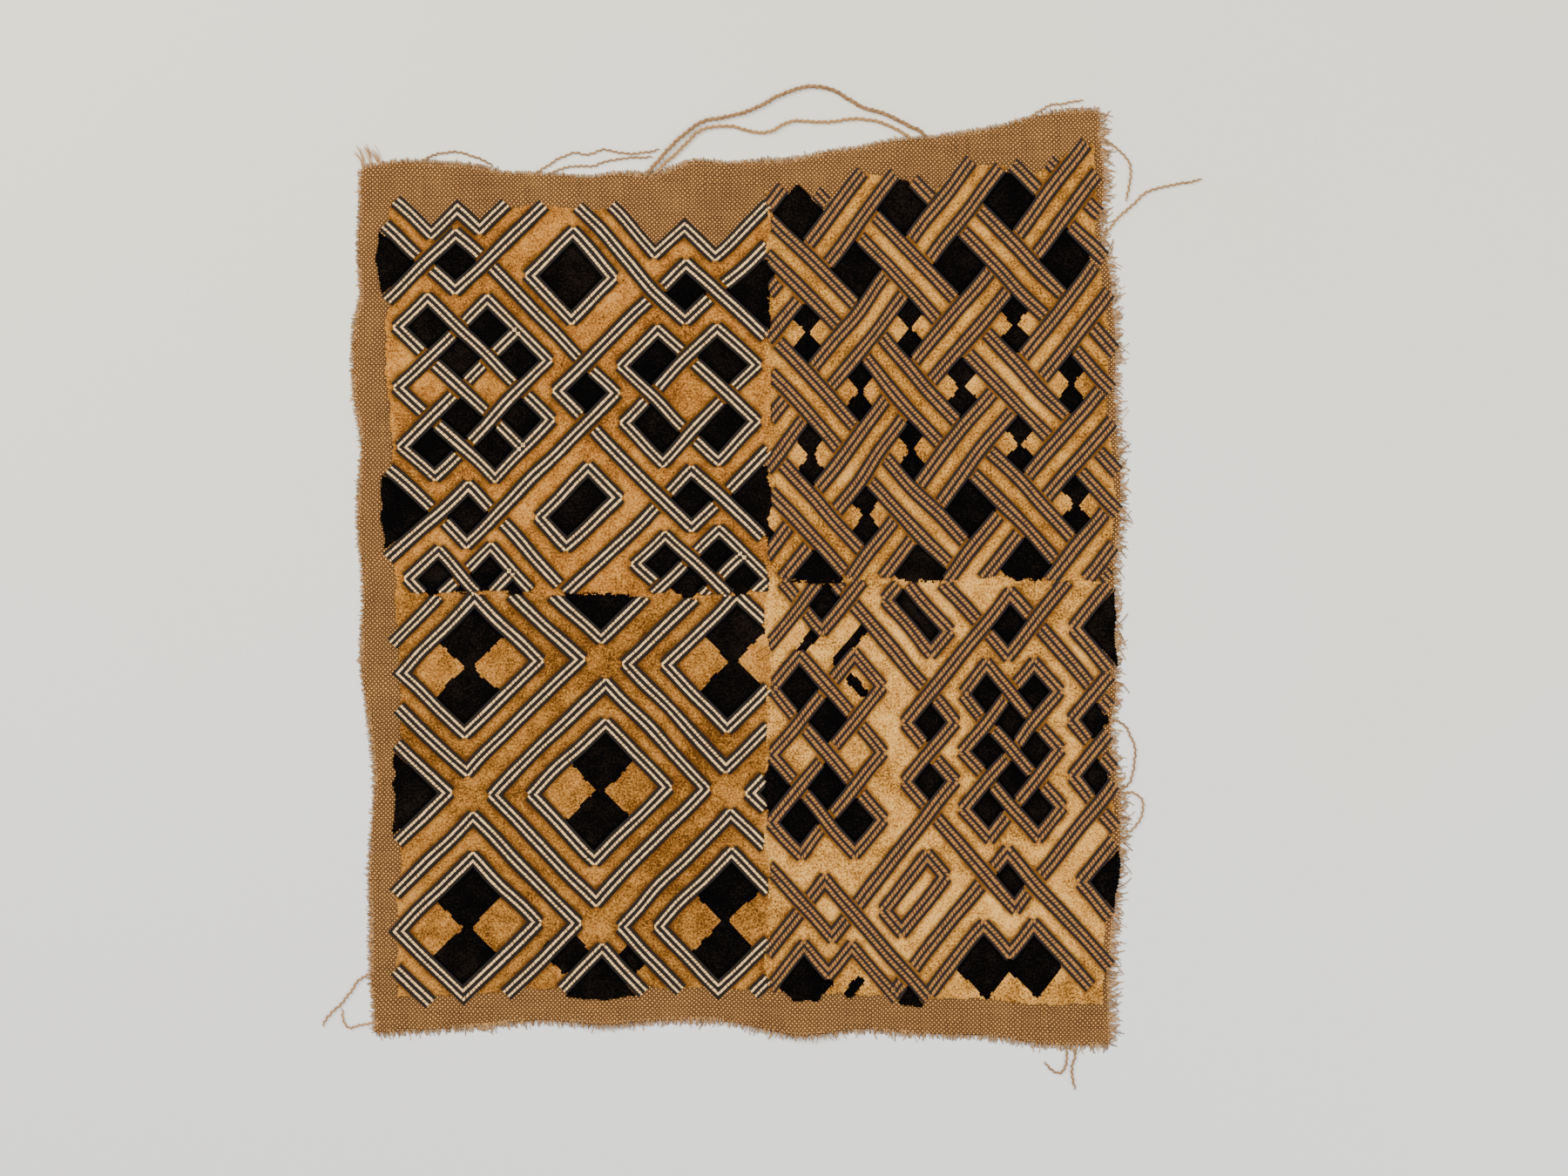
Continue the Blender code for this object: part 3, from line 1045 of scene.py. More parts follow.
def linear(colour: str) -> tuple[float, float, float, float]:
    """A hex sRGB colour as linear light.

    Args:
        colour: A number sign and six hex digits.

    Returns:
        Linear red, green and blue, and alpha 1.
    """
    channels = (int(colour.lstrip("#")[i : i + 2], 16) / 255 for i in (0, 2, 4))
    red, green, blue = (c / 12.92 if c <= 0.04045 else ((c + 0.055) / 1.055) ** 2.4 for c in channels)
    return red, green, blue, 1.0


def set_inputs(node: bpy.types.Node, inputs: dict[str | int, object]) -> None:
    """Sets or links a node's inputs.

    Args:
        node: The node.
        inputs: Input name or index to a value, or to the output that is linked to it.
    """
    for name, value in inputs.items():
        if isinstance(value, bpy.types.NodeSocket):
            node.id_data.links.new(value, node.inputs[name])
        else:
            node.inputs[name].default_value = value


def add_node(
    tree: bpy.types.NodeTree, kind: str, inputs: dict[str | int, object] | None = None,
    stops: tuple[tuple[float, str], ...] = (), **settings: object,
) -> bpy.types.Node:
    """Adds one node.

    Args:
        tree: The node tree.
        kind: The node's type name.
        inputs: Input name or index to a value, or to the output that is linked to it.
        stops: Position and hex colour of each stop, for a node that holds a ramp.
        settings: Attributes of the node.

    Returns:
        The node.
    """
    node = tree.nodes.new(kind)
    for name, value in settings.items():
        setattr(node, name, value)
    set_inputs(node, inputs or {})
    for index, (position, colour) in enumerate(stops):
        ramp = node.color_ramp.elements
        element = ramp[index] if index < 2 else ramp.new(position)
        element.position = position
        element.color = linear(colour)
    return node


def start_material(name: str) -> tuple[bpy.types.Material, bpy.types.Node, bpy.types.NodeSocket, Callable]:
    """Starts a material on its Principled shader.

    Args:
        name: The material's name.

    Returns:
        The material, its shader, its Object coordinates, and add_node for its own tree.
    """
    material = bpy.data.materials.new(name)
    material.use_nodes = True
    tree = material.node_tree
    add = partial(add_node, tree)
    return material, tree.nodes["Principled BSDF"], add("ShaderNodeTexCoord").outputs["Object"], add


@dataclass(frozen=True)
class CutPile:
    """Cut raffia pile, clipped with a blade: dry, matt tufts whose cut ends catch the light one by one."""

    name: str
    dark: str
    middle: str
    light: str
    # The edge tone is painted shade at a bar's sides, beside the bands
    edge: str
    specular: float = 0.05
    roughness: float = 0.9

    def build(self) -> bpy.types.Material:
        """The material. Tufts are 1.4 mm apart, and broader patches are 14 and 90 mm across."""
        material, shader, place, add = start_material(self.name)
        tuft = add("ShaderNodeTexNoise", {"Vector": place, "Scale": 700, "Detail": 2, "Roughness": 0.75})
        patch = add("ShaderNodeTexNoise", {"Vector": place, "Scale": 70, "Detail": 3, "Roughness": 0.6})
        broad = add("ShaderNodeTexNoise", {"Vector": place, "Scale": 11, "Detail": 1})
        grain = add("ShaderNodeMath", {0: tuft.outputs["Fac"], 1: 0.8}, operation="MULTIPLY")
        with_patch = add(
            "ShaderNodeMath", {0: patch.outputs["Fac"], 1: 0.35, 2: grain.outputs[0]},
            operation="MULTIPLY_ADD",
        )
        tone = add(
            "ShaderNodeMath", {0: broad.outputs["Fac"], 1: 0.3, 2: with_patch.outputs[0]},
            operation="MULTIPLY_ADD",
        )
        colour = add(
            "ShaderNodeValToRGB", {"Fac": tone.outputs[0]},
            stops=((0.59, self.dark), (0.87, self.light), (0.73, self.middle)),
        )
        # Painted shade: this attribute mixes the edge tone into the pile at a bar's sides, beside the bands
        painted_shade_and_tone = add("ShaderNodeAttribute", attribute_name="painted_shade_and_tone")
        mixed = add(
            "ShaderNodeMix", {0: painted_shade_and_tone.outputs["Fac"], 6: colour.outputs["Color"], 7: linear(self.edge)},
            data_type="RGBA",
        )
        bump = add(
            "ShaderNodeBump", {"Height": tuft.outputs["Fac"], "Strength": 0.8, "Distance": 0.0011}
        )
        set_inputs(shader, {
            "Base Color": mixed.outputs[2], "Normal": bump.outputs["Normal"],
            "Roughness": self.roughness, "Specular IOR Level": self.specular,
        })
        return material


@dataclass(frozen=True)
class StemStitch:
    """Stem stitch in flat raffia strands: dark and light lines in turn, each a row of slanted stitches."""

    name: str
    dark: str
    light: str
    light_shadow: str
    gap: float = 0.55
    light_line: float = 0.15
    stitch: float = STITCH * MM
    slant: float = STITCH_SLANT

    def build(self) -> bpy.types.Material:
        """The material. The piece's UV map holds metres along a band, and 0 to 1 across its five lines."""
        material, shader, place, add = start_material(self.name)
        chart = add("ShaderNodeUVMap", uv_map="band")
        parts = add("ShaderNodeSeparateXYZ", {"Vector": chart.outputs["UV"]})
        ragged = add("ShaderNodeTexNoise", {"Vector": place, "Scale": 420, "Detail": 2})
        shifted = add(
            "ShaderNodeMath", {0: ragged.outputs["Fac"], 1: 0.07, 2: parts.outputs["Y"]},
            operation="MULTIPLY_ADD",
        )
        first, second, half = 0.325, 0.735, self.light_line / 2
        lines = add(
            "ShaderNodeValToRGB", {"Fac": shifted.outputs[0]},
            stops=((0.0, "#000000"), (first - half, "#FFFFFF"), (first + half, "#000000"),
                   (second - half, "#FFFFFF"), (second + half, "#000000")),
        )
        lines.color_ramp.interpolation = "CONSTANT"
        along = add("ShaderNodeMath", {0: parts.outputs["X"], 1: self.stitch}, operation="DIVIDE")
        slanted = add(
            "ShaderNodeMath", {0: parts.outputs["Y"], 1: self.slant, 2: along.outputs[0]},
            operation="MULTIPLY_ADD",
        )
        turn = add("ShaderNodeMath", {0: slanted.outputs[0], 1: 0.5}, operation="PINGPONG")
        blotch = add("ShaderNodeTexNoise", {"Vector": place, "Scale": 240, "Detail": 3, "Roughness": 0.7})
        shade = add(
            "ShaderNodeMath", {0: turn.outputs[0], 1: 1.1, 2: blotch.outputs["Fac"]}, operation="MULTIPLY_ADD"
        )
        light = add(
            "ShaderNodeValToRGB", {"Fac": shade.outputs[0]},
            stops=((self.gap, self.light_shadow), (self.gap + 0.16, self.light)),
        )
        colour = add(
            "ShaderNodeMix",
            {0: lines.outputs["Color"], 6: linear(self.dark), 7: light.outputs["Color"]}, data_type="RGBA",
        )
        bump = add("ShaderNodeBump", {"Height": shade.outputs[0], "Strength": 0.6, "Distance": 0.0006})
        set_inputs(shader, {
            "Base Color": colour.outputs[2], "Normal": bump.outputs["Normal"],
            "Roughness": 0.72, "Specular IOR Level": 0.2,
        })
        return material


@dataclass(frozen=True)
class PlainWeave:
    """Plain-woven raffia yarn: a painted highlight on the crown where a yarn passes over, painted shade where
    it dips, and black-brown painted shade in the gaps.

    The real yarns are 1.17 mm apart. Here they are 1.6 mm apart, so that they show in a small render.
    """

    name: str = "plain_woven_raffia"
    yarn: float = 0.0016
    # The gap colour is painted shade between the yarns, and the light colour the crowns' painted highlight
    gap: str = "#1A0E05"
    body: str = "#6C461F"
    light: str = "#D09C58"

    def build(self) -> bpy.types.Material:
        """The material.

        With s and t as the sines of pi times the place over the yarn's width, along X and Y, the crown is the
        root of the size of s times t. Every second crown, where s and t have one sign, is the brighter.
        The crown sets the colour as well as the bump: a painted highlight on top, painted shade in the dips.
        """
        material, shader, place, add = start_material(self.name)
        drift = add("ShaderNodeTexNoise", {"Vector": place, "Scale": 60, "Detail": 1})
        moved = add(
            "ShaderNodeVectorMath", {0: drift.outputs["Color"], 1: (0.004, 0.004, 0.0), 2: place},
            operation="MULTIPLY_ADD",
        )
        parts = add("ShaderNodeSeparateXYZ", {"Vector": moved.outputs["Vector"]})
        sines = []
        for axis in ("X", "Y"):
            scaled = add(
                "ShaderNodeMath", {0: parts.outputs[axis], 1: np.pi / self.yarn}, operation="MULTIPLY"
            )
            sines.append(add("ShaderNodeMath", {0: scaled.outputs[0]}, operation="SINE").outputs[0])
        product = add("ShaderNodeMath", {0: sines[0], 1: sines[1]}, operation="MULTIPLY").outputs[0]
        size = add("ShaderNodeMath", {0: product}, operation="ABSOLUTE").outputs[0]
        crown = add("ShaderNodeMath", {0: size, 1: 0.6}, operation="POWER").outputs[0]
        second = add(
            "ShaderNodeMath", {0: product, 1: 0.55, 2: crown}, operation="MULTIPLY_ADD"
        ).outputs[0]
        streaks = []
        for stretch in ((30, 760, 1), (760, 30, 1)):
            squeezed = add("ShaderNodeMapping", {"Vector": place, "Scale": stretch})
            streaks.append(add(
                "ShaderNodeTexNoise", {"Vector": squeezed.outputs["Vector"], "Scale": 1.0, "Detail": 1}
            ).outputs["Fac"])
        both = add("ShaderNodeMath", {0: streaks[0], 1: streaks[1]}, operation="ADD").outputs[0]
        both = add("ShaderNodeMath", {0: both, 1: 0.45}, operation="MULTIPLY").outputs[0]
        mottle = add("ShaderNodeTexNoise", {"Vector": place, "Scale": 30, "Detail": 3, "Roughness": 0.6})
        body = add(
            "ShaderNodeMath", {0: mottle.outputs["Fac"], 1: 0.35, 2: both}, operation="MULTIPLY_ADD"
        ).outputs[0]
        tone = add("ShaderNodeMath", {0: second, 1: 0.9, 2: body}, operation="MULTIPLY_ADD").outputs[0]
        spread = add(
            "ShaderNodeMapRange", {"Value": tone, "From Min": 0.45, "From Max": 1.95}
        ).outputs["Result"]
        # Painted light: the ramp runs from painted shade in the gaps through the yarn's own colour to a
        # painted highlight on the crowns, and the mottle and streaks shift it at random
        colour = add(
            "ShaderNodeValToRGB", {"Fac": spread},
            stops=((0.0, self.gap), (0.95, self.light), (0.5, self.body)),
        )
        bump = add("ShaderNodeBump", {"Height": second, "Strength": 0.8, "Distance": 0.0005})
        set_inputs(shader, {
            "Base Color": colour.outputs["Color"], "Normal": bump.outputs["Normal"],
            "Roughness": 0.8, "Specular IOR Level": 0.15,
        })
        return material


@dataclass(frozen=True)
class FrayedYarn:
    """Raffia yarn with its twist let out: brown fibre with pale fibres through it, each end another tone."""

    name: str = "frayed_raffia_yarn"
    dark: str = "#3A2311"
    light: str = "#B98B54"

    def build(self) -> bpy.types.Material:
        """The material: each yarn's own tone from its attribute, mottled every 2 mm."""
        material, shader, place, add = start_material(self.name)
        own = add("ShaderNodeAttribute", attribute_name="painted_shade_and_tone")
        mottle = add("ShaderNodeTexNoise", {"Vector": place, "Scale": 500, "Detail": 2, "Roughness": 0.7})
        tone = add(
            "ShaderNodeMath", {0: mottle.outputs["Fac"], 1: 0.9, 2: own.outputs["Fac"]},
            operation="MULTIPLY_ADD",
        )
        colour = add(
            "ShaderNodeValToRGB", {"Fac": tone.outputs[0]},
            stops=((0.25, self.dark), (1.0, self.light)),
        )
        bump = add("ShaderNodeBump", {"Height": mottle.outputs["Fac"], "Strength": 0.4, "Distance": 0.0003})
        set_inputs(shader, {
            "Base Color": colour.outputs["Color"], "Normal": bump.outputs["Normal"], "Roughness": 0.75,
        })
        return material


@dataclass(frozen=True)
class PaintedFloor:
    """A plain painted board, smooth and matt."""

    name: str = "painted_floor"
    colour: str = "#DDDEDC"
    # Painted warm light from the window, towards the top of the floor
    painted_warm_light: str = "#E0DCCB"

    def build(self) -> bpy.types.Material:
        """The material, with a faint cloudiness 300 mm across and painted warm window light towards the top.
        """
        material, shader, place, add = start_material(self.name)
        cloud = add("ShaderNodeTexNoise", {"Vector": place, "Scale": 3, "Detail": 2})
        parts = add("ShaderNodeSeparateXYZ", {"Vector": place})
        # Painted light: the floor turns warmer towards the top, as under the window, with the cloudiness mixed
        # in
        height = add(
            "ShaderNodeMath", {0: parts.outputs["Y"], 1: 0.9, 2: cloud.outputs["Fac"]},
            operation="MULTIPLY_ADD",
        )
        colour = add(
            "ShaderNodeValToRGB", {"Fac": height.outputs[0]},
            stops=((0.2, self.colour), (0.95, self.painted_warm_light)),
        )
        set_inputs(shader, {"Base Color": colour.outputs["Color"], "Roughness": 0.6})
        return material


def make_piece(
    name: str, vertices: np.ndarray, faces: list[np.ndarray], material: bpy.types.Material,
    painted_shade_and_tone: np.ndarray | None = None, chart: np.ndarray | None = None,
) -> bpy.types.Object:
    """Makes one piece of the cloth from arrays.

    Args:
        name: The piece's name.
        vertices: Places in millimetres.
        faces: Arrays of vertex numbers, each array with faces of one size.
        material: Its finish.
        painted_shade_and_tone: One value for each vertex, kept as the attribute that the finishes read.
        chart: One UV place for each vertex.

    Returns:
        The object, smooth-shaded and riding on the cloth.
    """
    mesh = bpy.data.meshes.new(name)
    listed = [face for group in faces for face in np.asarray(group).tolist()]
    mesh.from_pydata((vertices * MM).tolist(), [], listed)
    mesh.materials.append(material)
    mesh.shade_smooth()
    if painted_shade_and_tone is not None:
        attribute = mesh.attributes.new("painted_shade_and_tone", "FLOAT", "POINT")
        attribute.data.foreach_set("value", np.asarray(painted_shade_and_tone, np.float32))
    if chart is not None:
        corners = np.empty(len(mesh.loops), np.int32)
        mesh.loops.foreach_get("vertex_index", corners)
        layer = mesh.uv_layers.new(name="band")
        layer.uv.foreach_set("vector", chart[corners].astype(np.float32).ravel())
    piece = bpy.data.objects.new(name, mesh)
    bpy.context.scene.collection.objects.link(piece)
    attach(piece, "root")
    triangles = sum(len(polygon.vertices) - 2 for polygon in mesh.polygons)
    LOG.info("%s: %d triangles", name, triangles)
    return piece


def grid_faces(rows: int, columns: int) -> np.ndarray:
    """Faces of a grid of rows times columns points, counted row by row."""
    first = (np.arange(rows - 1)[:, None] * columns + np.arange(columns - 1)).ravel()
    return np.column_stack([first, first + columns, first + columns + 1, first + 1])


@dataclass
class Embroidery:
    """The worked part of one quarter: its pile in two colours and its stitched bands."""

    quarter: Quarter
    tan: bpy.types.Material
    black: bpy.types.Material
    stitch: bpy.types.Material
    lines: int = 5
    soften: float = 0.5

    def visible_runs(self, design: Design) -> Runs:
        """The stretches of bands that are seen.

        Args:
            design: The quarter's design.

        Returns:
            For each stretch its points, its mitred half-width vectors and its width, all in squares.
        """
        squares = np.array([(c.a, c.b, c.half, c.over_along_a) for c in design.crossings]).reshape(-1, 4)
        found = []
        for strand in design.strands:
            points, offsets, along_a = self.sampled(strand)
            near = (
                (np.abs(points[:, None, 0] - squares[None, :, 0]) < squares[None, :, 2])
                & (np.abs(points[:, None, 1] - squares[None, :, 1]) < squares[None, :, 2])
            )
            hidden = (near & (along_a[:, None] != (squares[None, :, 3] > 0.5))).any(axis=1)
            drawn = self.quarter.drawn(points)
            # Bands end raggedly, between 6 mm outside the field's border and 1 mm inside it
            ends = -2.5 + 3.5 * value_noise(drawn, 9, 9)
            seen = self.quarter.inside(drawn, ends) & ~hidden
            edges = np.flatnonzero(np.diff(np.concatenate([[False], seen, [False]]).astype(int)))
            for start, stop in zip(edges[::2], edges[1::2]):
                if stop - start > 3:
                    found.append((points[start:stop], offsets[start:stop], strand.width))
        return found

    def sampled(self, strand: Strand) -> tuple[np.ndarray, np.ndarray, np.ndarray]:
        """Points along a strand, with none nearer to a corner than half the width but the corner itself.

        Args:
            strand: The band.

        Returns:
            Points, unit offsets to the left that are mitred at a corner, and whether each runs along a.
        """
        points, offsets, along = [], [], []
        runs = strand.runs()
        clear = strand.width / 2 + 0.2
        for index, run in enumerate(runs):
            start, end = run[:2], run[2:]
            length = np.abs(end - start).sum()
            forward = (end - start) / length
            left = np.array([-forward[1], forward[0]])
            first = clear if index else 0.0
            last = length - (clear if index < len(runs) - 1 else 0.0)
            if last <= first:
                first = last = length / 2
            count = max(2, round((last - first) / BAND_STEP))
            reached = np.linspace(first, last, count)
            points.append(start + forward * reached[:, None])
            offsets.append(np.repeat(left[None], count, axis=0))
            along.append(np.full(count, abs(forward[0]) > 0.5))
            if index < len(runs) - 1:
                after = (runs[index + 1][2:] - end) / np.abs(runs[index + 1][2:] - end).sum()
                points.append(end[None])
                offsets.append((left + np.array([-after[1], after[0]]))[None])
                along.append(np.array([abs(forward[0]) > 0.5]))
        return np.vstack(points), np.vstack(offsets), np.concatenate(along)

    def bands(self, runs: Runs) -> bpy.types.Object:
        """The stitched lines: a profile of five round ridges carried along each stretch of band.

        The profile's height is the base plus a ridge times the size of a sine with five half waves across,
        and each stitch adds a slanted wave.

        Args:
            runs: The stretches of bands that are seen.

        Returns:
            One piece.
        """
        across = np.linspace(0, 1, 2 * self.lines + 1)
        ridges = BAND_RIDGE * np.abs(np.sin(np.pi * self.lines * across))
        side = np.concatenate([[0.0], across, [1.0]])
        heights = np.concatenate([[BAND_FOOT], BAND_BASE + ridges, [BAND_FOOT]])
        random = np.random.default_rng(self.quarter.seed + 50)
        vertices, faces, charts, first = [], [], [], 0
        for points, offsets, width in runs:
            spots = points[:, None] - offsets[:, None] * (side[None, :, None] - 0.5) * width
            flat = self.quarter.drawn(spots)
            reached = np.concatenate([[0.0], np.cumsum(np.linalg.norm(np.diff(points, axis=0), axis=1))])
            reached = reached * SQUARE + random.uniform(0, 50)
            stitches = 0.12 * np.sin(2 * np.pi * (reached[:, None] / STITCH + side[None] * STITCH_SLANT))
            height = heights[None] + stitches * (heights[None] > BAND_FOOT) + 0.08 * value_noise(flat, 3, 5)
            vertices.append(np.dstack([flat, height]).reshape(-1, 3))
            faces.append(grid_faces(len(points), len(side))[:, ::-1] + first)
            charts.append(np.dstack(np.broadcast_arrays(reached[:, None] * MM, side[None])).reshape(-1, 2))
            first += len(points) * len(side)
        return make_piece(
            f"stitched_lines_{self.quarter.name}", np.vstack(vertices), faces, self.stitch,
            chart=np.vstack(charts),
        )

    def band_distance(self, runs: Runs, low: np.ndarray, shape: tuple[int, int]) -> np.ndarray:
        """How far each point of the pile's grid is from the bands' sides.

        The least distance is softened, so that pile between two bands ends in a round corner: it is minus k
        times the logarithm of the sum of exp(-distance / k) over all runs, with the softness as k.

        Args:
            runs: The stretches of bands that are seen.
            low: Lowest a and b of the grid.
            shape: How many points the grid has along a and b.

        Returns:
            One distance in squares for each point, under 0 on a band.
        """
        summed = np.full(shape, 1e-9)
        reach = 4.0
        for points, _, width in runs:
            turns = np.flatnonzero(np.abs(np.diff(points, n=2, axis=0)).sum(axis=1) > 1e-6) + 1
            marks = np.unique(np.concatenate([[0], turns, [len(points) - 1]]))
            for start, end in zip(points[marks[:-1]], points[marks[1:]]):
                half = np.abs(end - start) / 2
                middle = (start + end) / 2
                half = half + width / 2 * (half < 1e-6)
                lowest = np.maximum(((middle - half - reach - low) / PILE_STEP).astype(int), 0)
                highest = ((middle + half + reach - low) / PILE_STEP).astype(int) + 1
                window = (slice(lowest[0], highest[0]), slice(lowest[1], highest[1]))
                a = low[0] + PILE_STEP * np.arange(shape[0])[window[0]]
                b = low[1] + PILE_STEP * np.arange(shape[1])[window[1]]
                if not (len(a) and len(b)):
                    continue
                distance = box_distance(a[:, None], b[None], (*middle, *half))
                summed[window] += np.exp(-np.maximum(distance, -3) / self.soften)
        return -self.soften * np.log(summed)

    def black_distance(self, cells: list[Cell], a: np.ndarray, b: np.ndarray) -> np.ndarray:
        """How far each point of the pile's grid is from the nearest black cell's edge, up to 9 squares.

        Args:
            cells: The quarter's cells.
            a: First coordinates of the grid.
            b: Second coordinates of the grid.

        Returns:
            One distance in squares for each point, under 0 in black.
        """
        nearest = np.full(a.shape, 9.0)
        for cell in cells:
            if cell.fill is Fill.BARE:
                continue
            near = (np.abs(a - cell.a) < cell.half_a + 4) & (np.abs(b - cell.b) < cell.half_b + 4)
            if not near.any():
                continue
            near_a, near_b = a[near], b[near]
            box = (cell.a, cell.b, cell.half_a, cell.half_b)
            distance = box_distance(near_a, near_b, box, CELL_ROUNDING)
            if cell.fill is Fill.QUARTERED:
                for side in (-1, 1):
                    corner = (
                        cell.a + side * cell.half_a * TAN_MIDDLE, cell.b + side * cell.half_b * TAN_MIDDLE,
                        cell.half_a * TAN_HALF, cell.half_b * TAN_HALF,
                    )
                    distance = np.maximum(distance, -box_distance(near_a, near_b, corner, TAN_ROUNDING))
            nearest[near] = np.minimum(nearest[near], distance)
        return nearest

    def pile(self, design: Design, runs: Runs) -> list[bpy.types.Object]:
        """The cut pile, as one height over a grid, parted into a tan and a black piece.

        The height rises from the foot beside a band to the top over 1.3 squares, as a quarter of a circle,
        with a shallow furrow where the colours meet, and tufts and single random heights on top.

        Args:
            design: The quarter's design.
            runs: The stretches of bands that are seen.

        Returns:
            The tan and the black piece.
        """
        low_a, low_b, high_a, high_b = self.quarter.reach()
        low = np.array([low_a, low_b])
        along_a, along_b = np.arange(low_a, high_a, PILE_STEP), np.arange(low_b, high_b, PILE_STEP)
        a, b = np.meshgrid(along_a, along_b, indexing="ij")
        design_places = np.dstack([a, b])
        places = self.quarter.drawn(design_places)
        random = np.random.default_rng(self.quarter.seed + 60)
        ragged = 0.35 * value_noise(design_places, 2.2, 71) + 0.25 * value_noise(design_places, 1.1, 72)
        band = self.band_distance(runs, low, a.shape) + 0.2 * ragged
        black = self.black_distance(design.cells, a, b) + ragged
        rise = np.clip((band - 0.15) / 1.3, 0, 1)
        margin = field_margin(places) + 1.5 * value_noise(places, 8, 75) + 6.0 * (black < -0.5)
        for cell in design.cells:
            if cell.fill is Fill.BARE:
                outside = box_distance(a, b, (cell.a, cell.b, cell.half_a, cell.half_b))
                margin = np.minimum(margin, outside * SQUARE)
        rise = np.minimum(rise, np.clip(margin / 3.0, 0, 1))
        rise = np.sqrt(1 - (1 - rise) ** 2)
        furrow = 0.7 * np.exp(-((black / 0.55) ** 2))
        tufts = 0.22 * value_noise(design_places, 0.9, 73) + 0.16 * random.uniform(-1, 1, a.shape)
        waves = 0.2 * value_noise(design_places, 6, 74)
        height = PILE_FOOT + (PILE_TOP - PILE_FOOT + waves - furrow) * rise + tufts * (0.4 + 0.6 * rise)
        # Painted shade beside the bands: 0.9 at a band's side, gone 1.1 squares from it
        painted_shade_and_tone = np.clip(1.1 - band / 1.0, 0, 1) * 0.9

        rows, columns = a.shape
        faces = grid_faces(rows, columns)
        inside = (margin > 0).ravel()
        shared = self.quarter.shares(places).ravel()
        on_band = (band < -0.5).ravel()
        kept = inside[faces].all(axis=1) & shared[faces].any(axis=1) & ~on_band[faces].all(axis=1)
        faces = faces[kept]
        is_black = black.ravel()[faces].mean(axis=1) < 0
        vertices = np.dstack([places, height]).reshape(-1, 3)
        made = []
        for name, slot, mask, finish in (
            ("tan_pile", "tan_pile", ~is_black, self.tan), ("black_pile", "black_pile", is_black, self.black),
        ):
            used, numbered = np.unique(faces[mask], return_inverse=True)
            made.append(make_piece(
                f"{name}_{self.quarter.name}", vertices[used], [numbered.reshape(-1, 4)], finish,
                painted_shade_and_tone=painted_shade_and_tone.ravel()[used],
            ))
        return made

    def build(self) -> list[bpy.types.Object]:
        """All pieces of the quarter."""
        design = self.quarter.design()
        runs = self.visible_runs(design)
        return [self.bands(runs), *self.pile(design, runs)]


@dataclass
class GroundCloth:
    """The woven panel: one closed sheet, flat underneath, with an uneven border and a few lifted places."""

    finish: bpy.types.Material
    around: int = 1900
    border_steps: int = 14
    centre_steps: int = 5

    def edge_ring(self) -> np.ndarray:
        """The whole edge and the field's border, clockwise, evenly spaced: four columns."""
        sides = [smooth_curve(side, 3)[:-1] for side in (TOP_SIDE, RIGHT_SIDE, BOTTOM_SIDE, LEFT_SIDE)]
        ring_points = np.vstack(sides)
        return spaced(np.vstack([ring_points, ring_points[:1]]), self.around + 1)[:-1]

    def build(self) -> bpy.types.Object:
        """The sheet: for each place around, a section from the middle out on the underside and back on top.

        A point of the section is the field's border drawn in towards the middle by a share, or a mix of the
        border and the edge, and the edge itself is ragged by the width of a yarn.

        Returns:
            One piece.
        """
        ring_points = self.edge_ring()
        edge, border = ring_points[:, :2], ring_points[:, 2:]
        outward = edge - border
        outward /= np.linalg.norm(outward, axis=1)[:, None]
        random = np.random.default_rng(3)
        edge = edge + outward * (1.0 + 0.6 * random.uniform(-1, 1, (len(edge), 1)))
        centre = border.mean(axis=0)
        shrink = np.linspace(0.06, 0.97, self.centre_steps)
        inner = [centre + (border - centre) * share for share in shrink]
        outer = [border + (edge - border) * share for share in np.linspace(0, 1, self.border_steps + 1)]
        flat = np.stack(inner + outer)
        towards_edge = np.concatenate([np.zeros(len(inner)), np.linspace(0, 1, len(outer))])[:, None]
        on_border = np.concatenate([np.zeros(len(inner)), np.ones(len(outer))])[:, None]
        raised = lift(flat) * towards_edge**1.5
        swell = 0.35 * (value_noise(flat, 24, 81) + 1) * on_border
        yarns = 0.1 * random.uniform(-1, 1, flat.shape[:2])
        top = np.full(flat.shape[:2], WEAVE_TOP) + raised + swell + yarns
        top[: len(inner)] = WEAVE_UNDER_PILE
        bottom = raised
        section = np.concatenate([
            np.dstack([flat, bottom]), np.dstack([flat, top])[::-1],
        ])
        rows = section.shape[0]
        numbers = np.arange(rows * self.around).reshape(rows, self.around)
        after = np.roll(numbers, -1, axis=1)
        quads = np.stack([numbers[:-1], after[:-1], after[1:], numbers[1:]], axis=-1).reshape(-1, 4)
        under, over = rows * self.around, rows * self.around + 1
        fans = [
            np.column_stack([np.full(self.around, under), after[0], numbers[0]]),
            np.column_stack([np.full(self.around, over), numbers[-1], after[-1]]),
        ]
        vertices = np.vstack([
            section.reshape(-1, 3), [[*centre, 0.0]], [[*centre, WEAVE_UNDER_PILE]],
        ])
        outwards = [group[:, ::-1] for group in (quads, *fans)]
        return make_piece("ground_weave", vertices, outwards, self.finish)


